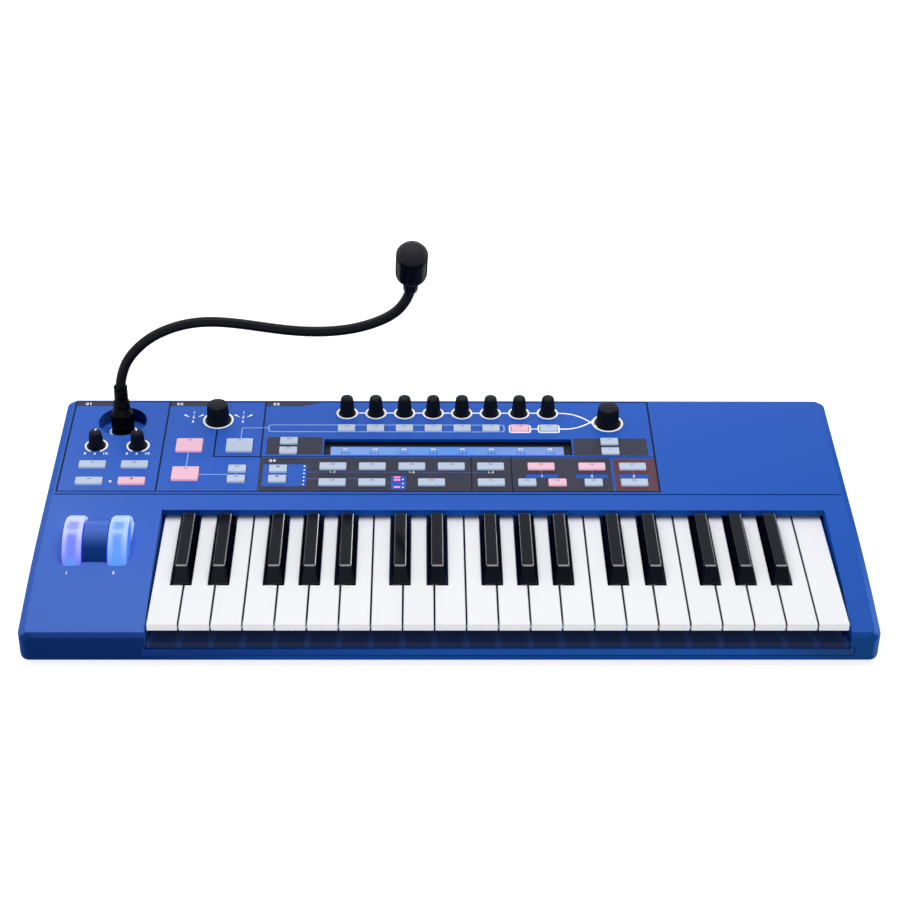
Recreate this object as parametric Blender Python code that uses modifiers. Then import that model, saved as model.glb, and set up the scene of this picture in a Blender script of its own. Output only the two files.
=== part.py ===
"""A compact 37-key virtual analog synthesizer with a gooseneck microphone, in metres, +Z up.

The origin is on the surface that the feet stand on, under the middle of the case. +X runs along
the keys from low to high, and +Y runs from the player to the sockets at the back.
"""

import math

import bmesh
import bpy
from mathutils import Matrix, Vector

MM = 0.001

# Overall sizes
CASE_WIDTH = 638 * MM
CASE_DEPTH = 293 * MM
FOOT_HEIGHT = 3.5 * MM
FOOT_RADIUS = 10 * MM
FOOT_INSET = 42 * MM
LEFT_CHEEK = 95.15 * MM  # from the left side of the case to the first key
KEY_TOP = 37 * MM  # height of the white keys above the table
KEY_SETBACK = 2.5 * MM  # the white keys start this far behind the front face

# Case skin
WALL = 3 * MM
PANEL_TILT = math.radians(3.04)
CHEEK_SLOPE = math.radians(9.2)  # the cheeks' slope at the front edge
CHEEK_ARC = 100 * MM  # the length over which the panel's tilt turns into that slope
PANEL_STEP = 8.2 * MM  # the panel's front edge stands this far above the white keys
ARC_BEFORE_PANEL = 12 * MM  # the arc starts this far before the panel's front edge
CHAMFER_WIDTH = 5.5 * MM
CHAMFER_DROP = 4 * MM
FRONT_CHAMFER_RUN = 2.5 * MM
FRONT_CHAMFER_DROP = 3.6 * MM
FRONT_CORNER = 8 * MM
REAR_CORNER = 9 * MM
REAR_TOP_ROUND = 3 * MM
BOTTOM_ROUND = 4.5 * MM
SIDE_DRAFT = 1.2 * MM
RIM_WIDTH = 9 * MM  # flange round the base plate
RIM_HEIGHT = 4 * MM
SEAM = 0.3 * MM  # gap between two pieces that meet

# Keys
KEY_PITCH = 23.571 * MM
WHITE_COUNT = 22
SHARP_SLOTS = (True, True, False, True, True, True, False)  # after each white key from C to B
KEY_GAP = 1.0 * MM
WELL_MARGIN = 1.5 * MM
WELL_DEPTH = 136.7 * MM
KEY_HEIGHT = 14 * MM
KEY_LIP = 5.8 * MM
KEY_LIP_REACH = 13 * MM
KEY_WALL = 2.2 * MM
KEY_ROUND = 0.6 * MM
SHARP_FRONT = 49.5 * MM
SHARP_BASE = 13.8 * MM
SHARP_TOP = 9.4 * MM
SHARP_RISE = 11.5 * MM
SHARP_NOSE = 8.5 * MM  # how far the sloping nose of a black key runs back
SHARP_LENGTH = 79 * MM
SHARP_CLEARANCE = 1.0 * MM
SHARP_ARM = 8 * MM
PIVOT_BACK = 185 * MM  # from the keys' front to their pivot
PIVOT_DROP = 12 * MM
TAIL_END = 5 * MM  # the keys run on this far behind the pivot
PIVOT_BEAD = 2.0 * MM
PIVOT_WEB = 2.2 * MM
RUNNING_GAP = 0.35 * MM

# Front lip, in the opening below the keys
LIP_BOTTOM = 10 * MM
LIP_TOP = 15 * MM
LIP_REACH = 3.4 * MM  # past each end of the well
LIP_EAR = 2 * MM  # the lip turns up at its ends

# Wheels
WHEEL_RADIUS = 31.2 * MM
WHEEL_WIDTH = 15 * MM
WHEEL_BACK = 98.7 * MM  # from the keys' front to the axle
WHEEL_DROP = 9 * MM  # from the white keys' top down to the axle
WHEEL_SWING = math.radians(30)
WHEEL_GAP = 0.8 * MM
WHEEL_ROUND = 2.4 * MM
PITCH_WHEEL_U = -63.9 * MM
MOD_WHEEL_U = -29.2 * MM
HUB_RADIUS = 7 * MM
AXLE_RADIUS = 2.5 * MM
BRIDGE_DROP = 2.7 * MM  # the bridge between the wheels is this much lower than their rims
BRIDGE_WALL = 2.6 * MM
POST_THICKNESS = 2 * MM

# Places on the panel: u is measured from the first key's left side, v from the panel's front edge
ENCODER_COUNT = 8
ENCODER_PITCH = 23.94 * MM
FIRST_ENCODER = (140.3 * MM, 133.8 * MM)
BROWSE_KNOB = (33.3 * MM, 123.4 * MM)
FILTER_KNOB = (357.3 * MM, 119.8 * MM)
VOLUME_KNOB = (-63.4 * MM, 86.5 * MM)
BALANCE_KNOB = (-29.4 * MM, 86.5 * MM)
KNOB_LIFT = 0.6 * MM
SHAFT_RADIUS = 3 * MM
SHAFT_DEPTH = 9 * MM
SHAFT_GAP = 0.5 * MM

WIDE_CAP = 21.6 * MM
SMALL_CAP = 14.4 * MM
LOW_CAP = 8.7 * MM
TALL_CAP = 17.3 * MM
CAP_RISE = 1.7 * MM
CAP_GAP = 0.5 * MM
CAP_ROUND = 0.5 * MM
BUTTON_TRAVEL = 1.0 * MM
PAD_THICKNESS = 1.3 * MM

DISPLAY_LOW = (122.6 * MM, 73.9 * MM)
DISPLAY_HIGH = (325.6 * MM, 96.2 * MM)
DISPLAY_RECESS = 4.6 * MM
DISPLAY_FRAME = 4 * MM
DISPLAY_HEIGHT = 11 * MM

MIC_PLACE = (-45.8 * MM, 119.8 * MM)
MIC_RECESS_RADIUS = 20 * MM
MIC_RECESS_FRONT = 6 * MM
MIC_RECESS_BACK = 12 * MM
SOCKET_RADIUS = 11.5 * MM
SOCKET_DEPTH = 18 * MM
PLUG_NOSE_RADIUS = 7.6 * MM
PLUG_NOSE = 13 * MM
PLUG_RADIUS = 9.5 * MM
PLUG_HEIGHT = 42 * MM
NECK_RADIUS = 4.3 * MM
HEAD_RADIUS = 12.5 * MM
HEAD_LENGTH = 30 * MM
HEAD_DOME = 7 * MM
COLLAR_RADIUS = 5.9 * MM
COLLAR_LENGTH = 19 * MM
HEAD_LEAN = math.radians(28)

# Sockets along the back, by their distance from the middle of the case, seen from the front
SOCKET_HEIGHT = 30 * MM
JACK_BORE = 3.3 * MM
JACK_NOSE = 5.4 * MM
JACK_SOCKETS = (-206, -184, -150, -128, -106, -84, -50, -28, 6)
MIDI_SOCKETS = (42, 68, 94)
PHONO_SOCKETS = (122, 140)
USB_PLACE = 170
POWER_PLACE = 232
SWITCH_PLACE = 262
BOARD_DEPTH = 34 * MM
BOARD_THICKNESS = 1.6 * MM
BOARD_LEFT = -224 * MM
BOARD_RIGHT = 282 * MM

# What follows from them
KEYS_LEFT = -CASE_WIDTH / 2 + LEFT_CHEEK
KEYS_SPAN = WHITE_COUNT * KEY_PITCH
KEYS_RIGHT = KEYS_LEFT + KEYS_SPAN
FRONT = -CASE_DEPTH / 2
REAR = CASE_DEPTH / 2
KEYS_FRONT = FRONT + KEY_SETBACK
WELL_REAR = KEYS_FRONT + WELL_DEPTH
PANEL_FRONT_HEIGHT = KEY_TOP + PANEL_STEP
PIVOT_Y = KEYS_FRONT + PIVOT_BACK
PIVOT_Z = KEY_TOP - PIVOT_DROP
WHEEL_Y = KEYS_FRONT + WHEEL_BACK
WHEEL_Z = KEY_TOP - WHEEL_DROP
POST_TOP = WHEEL_Z + AXLE_RADIUS + 1 * MM
FLOOR_TOP = FOOT_HEIGHT + WALL
WELL_LEFT = KEYS_LEFT - WELL_MARGIN
WELL_RIGHT = KEYS_RIGHT + WELL_MARGIN
FAR = 1.0  # longer than the object, for cutters that pass through it


def button_places():
    """(u, v, width, depth) of every button, in the panel's own coordinates."""
    places = []
    for u in (VOLUME_KNOB[0], BALANCE_KNOB[0]):
        places += [(u, v * MM, WIDE_CAP, LOW_CAP) for v in (59.7, 37.3)]
    places += [(12.5 * MM, v * MM, WIDE_CAP, TALL_CAP) for v in (86.3, 47.1)]
    places.append((53.4 * MM, 86.3 * MM, WIDE_CAP, TALL_CAP))
    places += [(53.7 * MM, v * MM, SMALL_CAP, LOW_CAP) for v in (53.9, 40.2)]
    for k in range(ENCODER_COUNT):
        places.append((FIRST_ENCODER[0] + k * ENCODER_PITCH, 110.9 * MM, SMALL_CAP, LOW_CAP))
    places += [(93.6 * MM, v * MM, SMALL_CAP, LOW_CAP) for v in (92.6, 79.1)]
    places += [(356.8 * MM, v * MM, SMALL_CAP, LOW_CAP) for v in (92.0, 78.6)]
    places += [(86.7 * MM, v * MM, SMALL_CAP, LOW_CAP) for v in (53.9, 40.2)]
    for u in (130.9, 162.7, 194.6, 226.5, 258.2, 299.1, 340.1, 373.1):
        places.append((u * MM, 57.2 * MM, WIDE_CAP, LOW_CAP))
    for u in (130.9, 162.7, 210.4, 258.3, 373.0):
        places.append((u * MM, 35.5 * MM, WIDE_CAP, LOW_CAP))
    places += [(u * MM, 35.5 * MM, SMALL_CAP, LOW_CAP) for u in (287.1, 311.3, 340.3)]
    return places


def knob_places():
    """(node name, place on the panel, kind) of every knob."""
    knobs = [
        ("volume_knob", VOLUME_KNOB, "pot"),
        ("balance_knob", BALANCE_KNOB, "pot"),
        ("browse_knob", BROWSE_KNOB, "large"),
        ("filter_knob", FILTER_KNOB, "large"),
    ]
    for k in range(ENCODER_COUNT):
        place = (FIRST_ENCODER[0] + k * ENCODER_PITCH, FIRST_ENCODER[1])
        knobs.append((f"encoder_knob_{k + 1}", place, "encoder"))
    return knobs


def clear_scene():
    for obj in list(bpy.data.objects):
        bpy.data.objects.remove(obj, do_unlink=True)


def make_collection(name):
    collection = bpy.data.collections.new(name)
    bpy.context.scene.collection.children.link(collection)
    return collection


def make_material(name, colour, roughness, metallic=0.0):
    material = bpy.data.materials.new(name)
    material.use_nodes = True
    shader = material.node_tree.nodes["Principled BSDF"]
    shader.inputs["Base Color"].default_value = (*colour, 1.0)
    shader.inputs["Roughness"].default_value = roughness
    shader.inputs["Metallic"].default_value = metallic
    return material


clear_scene()
PARTS = make_collection("synthesizer")
CUTTERS = make_collection("cutters")

BLUE = make_material("case_blue", (0.05, 0.13, 0.55), 0.45)
WHITE = make_material("key_white", (0.93, 0.93, 0.94), 0.25)
BLACK = make_material("key_black", (0.012, 0.012, 0.014), 0.15)
RUBBER = make_material("knob_rubber", (0.02, 0.02, 0.022), 0.6)
SILICONE = make_material("button_silicone", (0.55, 0.6, 0.68), 0.5)
GLOW = make_material("wheel_clear", (0.45, 0.45, 0.95), 0.3)
GLASS = make_material("display_glass", (0.15, 0.35, 0.9), 0.1)
CHASSIS = make_material("chassis_black", (0.03, 0.03, 0.035), 0.5)
BOARD = make_material("socket_board", (0.05, 0.12, 0.07), 0.5)
MIC_BLACK = make_material("mic_black", (0.02, 0.02, 0.022), 0.4, 0.3)


def place_object(name, mesh, material, collection=PARTS):
    obj = bpy.data.objects.new(name, mesh)
    if material:
        mesh.materials.clear()
        mesh.materials.append(material)
    collection.objects.link(obj)
    return obj


def as_cutter(obj):
    """Keep an object as a helper for Booleans only."""
    for collection in list(obj.users_collection):
        collection.objects.unlink(obj)
    CUTTERS.objects.link(obj)
    obj.hide_render = True
    obj.display_type = "WIRE"
    return obj


def boolean(obj, other, operation):
    modifier = obj.modifiers.new(f"{operation.lower()} {other.name}", "BOOLEAN")
    modifier.operation = operation
    modifier.solver = "EXACT"
    modifier.object = other
    return modifier


def cut(obj, cutter):
    boolean(obj, as_cutter(cutter), "DIFFERENCE")


def fuse(obj, piece):
    boolean(obj, as_cutter(piece), "UNION")


def bevel_by_angle(obj, width, segments, degrees=40):
    modifier = obj.modifiers.new("rounding", "BEVEL")
    modifier.width = width
    modifier.segments = segments
    modifier.limit_method = "ANGLE"
    modifier.angle_limit = math.radians(degrees)


def mesh_from(bm, name):
    bmesh.ops.recalc_face_normals(bm, faces=bm.faces)
    mesh = bpy.data.meshes.new(name)
    bm.to_mesh(mesh)
    bm.free()
    return mesh


def boxes(name, corners, material=None, matrix=None):
    """One object of separate boxes, each given by its lowest and highest corner."""
    bm = bmesh.new()
    for low, high in corners:
        low, high = Vector(low), Vector(high)
        made = bmesh.ops.create_cube(bm, size=1.0)["verts"]
        size = Matrix.Diagonal((*(high - low), 1.0))
        bmesh.ops.transform(bm, matrix=Matrix.Translation((low + high) / 2) @ size, verts=made)
    if matrix:
        bmesh.ops.transform(bm, matrix=matrix, verts=bm.verts)
    return place_object(name, mesh_from(bm, name), material)


def cylinders(name, items, material=None, matrix=None, sides=16):
    """One object of separate cylinders (centre, radius, length, axis letter)."""
    turn = {
        "x": Matrix.Rotation(math.pi / 2, 4, "Y"),
        "y": Matrix.Rotation(math.pi / 2, 4, "X"),
        "z": Matrix.Identity(4),
    }
    bm = bmesh.new()
    for centre, radius, length, axis in items:
        made = bmesh.ops.create_cone(
            bm, cap_ends=True, segments=sides, radius1=radius, radius2=radius, depth=length
        )["verts"]
        bmesh.ops.transform(bm, matrix=Matrix.Translation(centre) @ turn[axis], verts=made)
    if matrix:
        bmesh.ops.transform(bm, matrix=matrix, verts=bm.verts)
    return place_object(name, mesh_from(bm, name), material)


def plate(name, outline, low, high, plane="xy", material=None, matrix=None):
    """A flat outline given thickness: xy outlines rise along Z, yz outlines run along X."""
    curve = bpy.data.curves.new(name, "CURVE")
    curve.dimensions = "2D"
    curve.fill_mode = "BOTH"
    curve.extrude = (high - low) / 2
    spline = curve.splines.new("POLY")
    spline.points.add(len(outline) - 1)
    for point, (a, b) in zip(spline.points, outline):
        point.co = (a, b, 0, 1)
    spline.use_cyclic_u = True
    obj = bpy.data.objects.new(name, curve)
    bpy.context.scene.collection.objects.link(obj)
    bpy.context.view_layer.update()
    solid = bpy.data.meshes.new_from_object(obj.evaluated_get(bpy.context.evaluated_depsgraph_get()))
    bpy.data.objects.remove(obj, do_unlink=True)
    bm = bmesh.new()
    bm.from_mesh(solid)
    bpy.data.meshes.remove(solid)
    bmesh.ops.remove_doubles(bm, verts=bm.verts, dist=1e-6)
    bmesh.ops.transform(bm, matrix=Matrix.Translation((0, 0, (low + high) / 2)), verts=bm.verts)
    if plane == "yz":
        turned = Matrix(((0, 0, 1, 0), (1, 0, 0, 0), (0, 1, 0, 0), (0, 0, 0, 1)))
        bmesh.ops.transform(bm, matrix=turned, verts=bm.verts)
    if matrix:
        bmesh.ops.transform(bm, matrix=matrix, verts=bm.verts)
    bmesh.ops.dissolve_limit(bm, angle_limit=1e-3, verts=bm.verts, edges=bm.edges)
    return place_object(name, mesh_from(bm, name), material)


def loft(name, sections, material=None):
    """A closed solid through rings of points that all have the same count."""
    bm = bmesh.new()
    rings = [[bm.verts.new(point) for point in section] for section in sections]
    for ring, following in zip(rings, rings[1:]):
        for k, vert in enumerate(ring):
            after = (k + 1) % len(ring)
            bm.faces.new((vert, ring[after], following[after], following[k]))
    bm.faces.new(rings[0])
    bm.faces.new(reversed(rings[-1]))
    bmesh.ops.dissolve_degenerate(bm, dist=1e-6, edges=bm.edges)
    return place_object(name, mesh_from(bm, name), material)


def tube(name, rings, radius, sides, material):
    """A round tube through (centre, share of the radius), its rings square to its path."""
    centres = [centre for centre, _ in rings]
    across = Vector((0, 1, 0))
    sections = []
    for k, (centre, size) in enumerate(rings):
        along = (centres[min(k + 1, len(rings) - 1)] - centres[max(k - 1, 0)]).normalized()
        across = (across - along * across.dot(along)).normalized()
        other = along.cross(across)
        section = []
        for side in range(sides):
            angle = 2 * math.pi * side / sides
            offset = across * math.cos(angle) + other * math.sin(angle)
            section.append(centre + offset * radius * size)
        sections.append(section)
    return loft(name, sections, material)


def turned(name, profile, material, steps):
    """A turned solid: the profile of (radius, height) runs from the top down its outer side."""
    mesh = bpy.data.meshes.new(name)
    points = [(radius, 0, height) for radius, height in profile]
    mesh.from_pydata(points, [(k, k + 1) for k in range(len(points) - 1)], [])
    obj = place_object(name, mesh, material)
    screw = obj.modifiers.new("turning", "SCREW")
    screw.axis = "Z"
    screw.steps = steps
    screw.render_steps = steps
    screw.use_merge_vertices = True
    screw.merge_threshold = 1e-6
    return obj


def surface_height(y):
    """Height of the case's top: a tilted flat panel, then an arc down to the sloping cheeks."""
    panel_y = y - WELL_REAR
    if panel_y >= -ARC_BEFORE_PANEL:
        return PANEL_FRONT_HEIGHT + panel_y * math.tan(PANEL_TILT)
    start = PANEL_FRONT_HEIGHT - ARC_BEFORE_PANEL * math.tan(PANEL_TILT)
    run = -ARC_BEFORE_PANEL - panel_y
    along = min(run, CHEEK_ARC)
    slope = PANEL_TILT + (CHEEK_SLOPE - PANEL_TILT) * along / CHEEK_ARC
    height = start - along * math.tan((PANEL_TILT + slope) / 2)
    return height - max(run - CHEEK_ARC, 0) * math.tan(CHEEK_SLOPE)


PANEL_MATRIX = Matrix.Translation((KEYS_LEFT, WELL_REAR, PANEL_FRONT_HEIGHT)) @ Matrix.Rotation(
    PANEL_TILT, 4, "X"
)


def on_panel(u, v, h=0.0):
    return PANEL_MATRIX @ Vector((u, v, h))


def case_section(y, top, half, inset_bottom, chamfer=True):
    """One ring of the case across X at depth y, with chamfered top and rounded bottom corners."""
    low = FOOT_HEIGHT + inset_bottom
    wide, drop = (CHAMFER_WIDTH, CHAMFER_DROP) if chamfer else (WALL / 2, WALL / 2)
    side = [
        (half - SIDE_DRAFT - BOTTOM_ROUND, low),
        (half - SIDE_DRAFT - BOTTOM_ROUND * 0.3, low + BOTTOM_ROUND * 0.3),
        (half - SIDE_DRAFT, low + BOTTOM_ROUND),
        (half, top - drop),
        (half - wide, top),
    ]
    ring = side + [(-x, z) for x, z in reversed(side)]
    return [(x, y, z) for x, z in ring]


def case_stations():
    """Depths of the rings that carry the arc of the cheeks and the flat panel."""
    arc_start = WELL_REAR - ARC_BEFORE_PANEL
    return [arc_start - CHEEK_ARC * k / 6 for k in range(6, -1, -1)]


def quarter_rise(radius, along):
    """How far a quarter round of this radius still is from its straight, this far along."""
    return radius - math.sqrt(radius**2 - max(radius - along, 0) ** 2)


def case_body():
    """The outer form of the upper case, lofted from front to back."""
    half = CASE_WIDTH / 2
    sections = []
    for along in (0, FRONT_CHAMFER_RUN / 2.5, FRONT_CHAMFER_RUN, FRONT_CORNER / 2, FRONT_CORNER):
        drop = FRONT_CHAMFER_DROP * max(1 - along / FRONT_CHAMFER_RUN, 0)
        sections.append(
            case_section(
                FRONT + along,
                surface_height(FRONT + along) - drop,
                half - quarter_rise(FRONT_CORNER, along),
                quarter_rise(BOTTOM_ROUND, along),
            )
        )
    for y in case_stations():
        sections.append(case_section(y, surface_height(y), half, 0))
    for step in range(4):
        angle = math.radians(30 * step)
        y = REAR - REAR_CORNER + REAR_CORNER * math.sin(angle)
        inset = REAR_CORNER * (1 - math.cos(angle))
        round_down = max(y - (REAR - REAR_TOP_ROUND), 0)
        sections.append(
            case_section(y, surface_height(y) - round_down, half - inset, round_down * 0.6)
        )
    return loft("upper_case", sections, BLUE)


def case_cavity():
    """The hollow of the case: the outer form drawn in by the wall, without the block of the well."""
    half = CASE_WIDTH / 2 - WALL
    low = RIM_HEIGHT
    corner = FRONT_CORNER - WALL
    sections = []
    for along in (0, 0.3 * corner):
        y = FRONT + WALL + along
        top = surface_height(y) - WALL
        sections.append(case_section(y, top, half - quarter_rise(corner, along), low))
    for y in [FRONT + FRONT_CORNER] + case_stations() + [REAR - REAR_CORNER - WALL]:
        sections.append(case_section(y, surface_height(y) - WALL, half, low, chamfer=True))
    top = surface_height(REAR - WALL) - WALL
    sections.append(case_section(REAR - WALL, top, half - REAR_CORNER / 2, low))
    cavity = loft("cavity", sections)
    well_block = boxes(
        "well_block",
        [((WELL_LEFT - WALL, -FAR, -FAR), (WELL_RIGHT + WALL, WELL_REAR + WALL, FAR))],
    )
    cut(cavity, well_block)
    return cavity


def well_cutters():
    """Everything cut away for the keys: the well, the keys' passage and the notch of the lip."""
    lip_left, lip_right = WELL_LEFT - LIP_REACH, WELL_RIGHT + LIP_REACH
    well = boxes(
        "well", [((WELL_LEFT, -FAR, LIP_BOTTOM - SEAM), (WELL_RIGHT, WELL_REAR, FAR))]
    )
    passage = boxes(
        "key_passage",
        [((WELL_LEFT, WELL_REAR - FAR, FOOT_HEIGHT), (WELL_RIGHT, WELL_REAR + 2 * WALL, KEY_TOP + WALL))],
    )
    trim_low = (WELL_LEFT - FAR, -FAR, -FAR)
    trim = boxes("passage_trim", [(trim_low, (FAR, WELL_REAR - WALL, FAR))])
    cut(passage, trim)
    notch = boxes(
        "lip_notch",
        [
            (
                (lip_left - SEAM, -FAR, LIP_BOTTOM - SEAM),
                (lip_right + SEAM, FRONT + RIM_WIDTH + 4 * SEAM, LIP_TOP + LIP_EAR + SEAM),
            )
        ],
    )
    return [well, passage, notch]


def bottom_opening():
    half = CASE_WIDTH / 2 - RIM_WIDTH
    low = (-half, FRONT + RIM_WIDTH, -FAR)
    return boxes("bottom_opening", [(low, (half, REAR - RIM_WIDTH, LIP_BOTTOM - SEAM / 2))])


def mic_floor_matrix():
    """Frame on the sloping floor of the microphone recess, its Z along the plug."""
    fall = math.atan((MIC_RECESS_BACK - MIC_RECESS_FRONT) / (2 * MIC_RECESS_RADIUS))
    middle = -(MIC_RECESS_BACK + MIC_RECESS_FRONT) / 2
    place = Matrix.Translation((*MIC_PLACE, middle))
    return PANEL_MATRIX @ place @ Matrix.Rotation(-fall, 4, "X")


def wheel_matrix(u):
    return Matrix.Translation((KEYS_LEFT + u, WHEEL_Y, WHEEL_Z))


def bridge_span():
    """Left and right side of the bridge between the two wheels."""
    reach = WHEEL_WIDTH / 2 + WHEEL_GAP
    return KEYS_LEFT + PITCH_WHEEL_U + reach, KEYS_LEFT + MOD_WHEEL_U - reach


def wheel_openings():
    """Slots that follow the wheels' rims."""
    reach = WHEEL_WIDTH / 2 + WHEEL_GAP
    slots = []
    for u in (PITCH_WHEEL_U, MOD_WHEEL_U):
        slots.append((wheel_matrix(u).translation, WHEEL_RADIUS + WHEEL_GAP, 2 * reach, "x"))
    return cylinders("wheel_slots", slots, sides=44)


def cap_windows(places, clearance, low, high, name):
    corners = []
    for u, v, wide, deep in places:
        reach_u, reach_v = wide / 2 + clearance, deep / 2 + clearance
        corners.append(((u - reach_u, v - reach_v, low), (u + reach_u, v + reach_v, high)))
    return boxes(name, corners, matrix=PANEL_MATRIX)


def socket_items():
    """(kind, distance from the middle, half size of the nose across X and Z) along the back."""
    items = [("jack", x * MM, JACK_NOSE, JACK_NOSE) for x in JACK_SOCKETS]
    items += [("midi", x * MM, 8.4 * MM, 8.4 * MM) for x in MIDI_SOCKETS]
    items += [("phono", x * MM, 4.6 * MM, 4.6 * MM) for x in PHONO_SOCKETS]
    items.append(("usb", USB_PLACE * MM, 6.0 * MM, 5.5 * MM))
    items.append(("power", POWER_PLACE * MM, 4.6 * MM, 4.6 * MM))
    items.append(("switch", SWITCH_PLACE * MM, 6.5 * MM, 4.5 * MM))
    return items


def rear_holes():
    """Round holes for round sockets and square ones for the rest."""
    span = 6 * WALL
    round_ones, square_ones = [], []
    for kind, x, wide, tall in socket_items():
        if kind in ("usb", "switch"):
            low = (x - wide - SEAM, REAR - span / 2, SOCKET_HEIGHT - tall - SEAM)
            square_ones.append((low, (x + wide + SEAM, REAR + span / 2, SOCKET_HEIGHT + tall + SEAM)))
        else:
            round_ones.append(((x, REAR, SOCKET_HEIGHT), wide + SEAM, span, "y"))
    return cylinders("round_holes", round_ones, sides=12), boxes("square_holes", square_ones)


def build_upper_case():
    """The moulded blue shell: panel, cheeks, bridge, microphone pocket and rear wall."""
    case = case_body()
    cut(case, case_cavity())

    left, right = bridge_span()
    bridge_radius = WHEEL_RADIUS - BRIDGE_DROP
    middle = (left + right) / 2
    fuse(
        case,
        cylinders(
            "bridge", [((middle, WHEEL_Y, WHEEL_Z), bridge_radius, right - left, "x")], sides=40
        ),
    )
    hollow_width = right - left - 2 * BRIDGE_WALL
    cut(
        case,
        cylinders(
            "bridge_hollow",
            [((middle, WHEEL_Y, WHEEL_Z), bridge_radius - BRIDGE_WALL, hollow_width, "x")],
            sides=40,
        ),
    )
    under_bridge = boxes(
        "under_bridge",
        [
            (
                (left - 2 * WHEEL_GAP, WHEEL_Y - WHEEL_RADIUS, FLOOR_TOP),
                (right + 2 * WHEEL_GAP, WHEEL_Y + WHEEL_RADIUS, POST_TOP + 2 * WHEEL_GAP),
            )
        ],
    )
    cut(case, under_bridge)
    cut(case, wheel_openings())

    floor = mic_floor_matrix()
    pocket_radius = MIC_RECESS_RADIUS + WALL
    pocket_deep = MIC_RECESS_BACK + WALL
    pocket_top = -WALL / 2
    pocket = cylinders(
        "mic_pocket",
        [
            (
                (*MIC_PLACE, (pocket_top - pocket_deep) / 2),
                pocket_radius,
                pocket_deep + pocket_top,
                "z",
            )
        ],
        matrix=PANEL_MATRIX,
        sides=32,
    )
    fuse(case, pocket)
    socket_body = cylinders(
        "mic_socket", [((0, 0, -SOCKET_DEPTH / 2 - SEAM), SOCKET_RADIUS, SOCKET_DEPTH, "z")], matrix=floor
    )
    fuse(case, socket_body)
    recess_top = 4 * MIC_RECESS_BACK
    recess = cylinders(
        "mic_recess",
        [((0, 0, recess_top / 2), MIC_RECESS_RADIUS, recess_top, "z")],
        matrix=floor,
        sides=32,
    )
    cut(case, recess)
    bore_length = PLUG_NOSE + 2 * WALL
    cut(
        case,
        cylinders(
            "mic_bore",
            [((0, 0, WALL - bore_length / 2), PLUG_NOSE_RADIUS + RUNNING_GAP, bore_length, "z")],
            matrix=floor,
            sides=20,
        ),
    )

    for cutter in well_cutters():
        cut(case, cutter)
    cut(case, bottom_opening())
    cut(case, cap_windows(button_places(), CAP_GAP, -2 * WALL, WALL, "button_windows"))
    cut(
        case,
        boxes(
            "display_window",
            [((*DISPLAY_LOW, -2 * WALL), (*DISPLAY_HIGH, WALL))],
            matrix=PANEL_MATRIX,
        ),
    )
    holes = [((*place, 0), SHAFT_RADIUS + SHAFT_GAP, 4 * WALL, "z") for _, place, _ in knob_places()]
    cut(case, cylinders("shaft_holes", holes, matrix=PANEL_MATRIX, sides=12))
    for cutter in rear_holes():
        cut(case, cutter)
    return case


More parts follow.
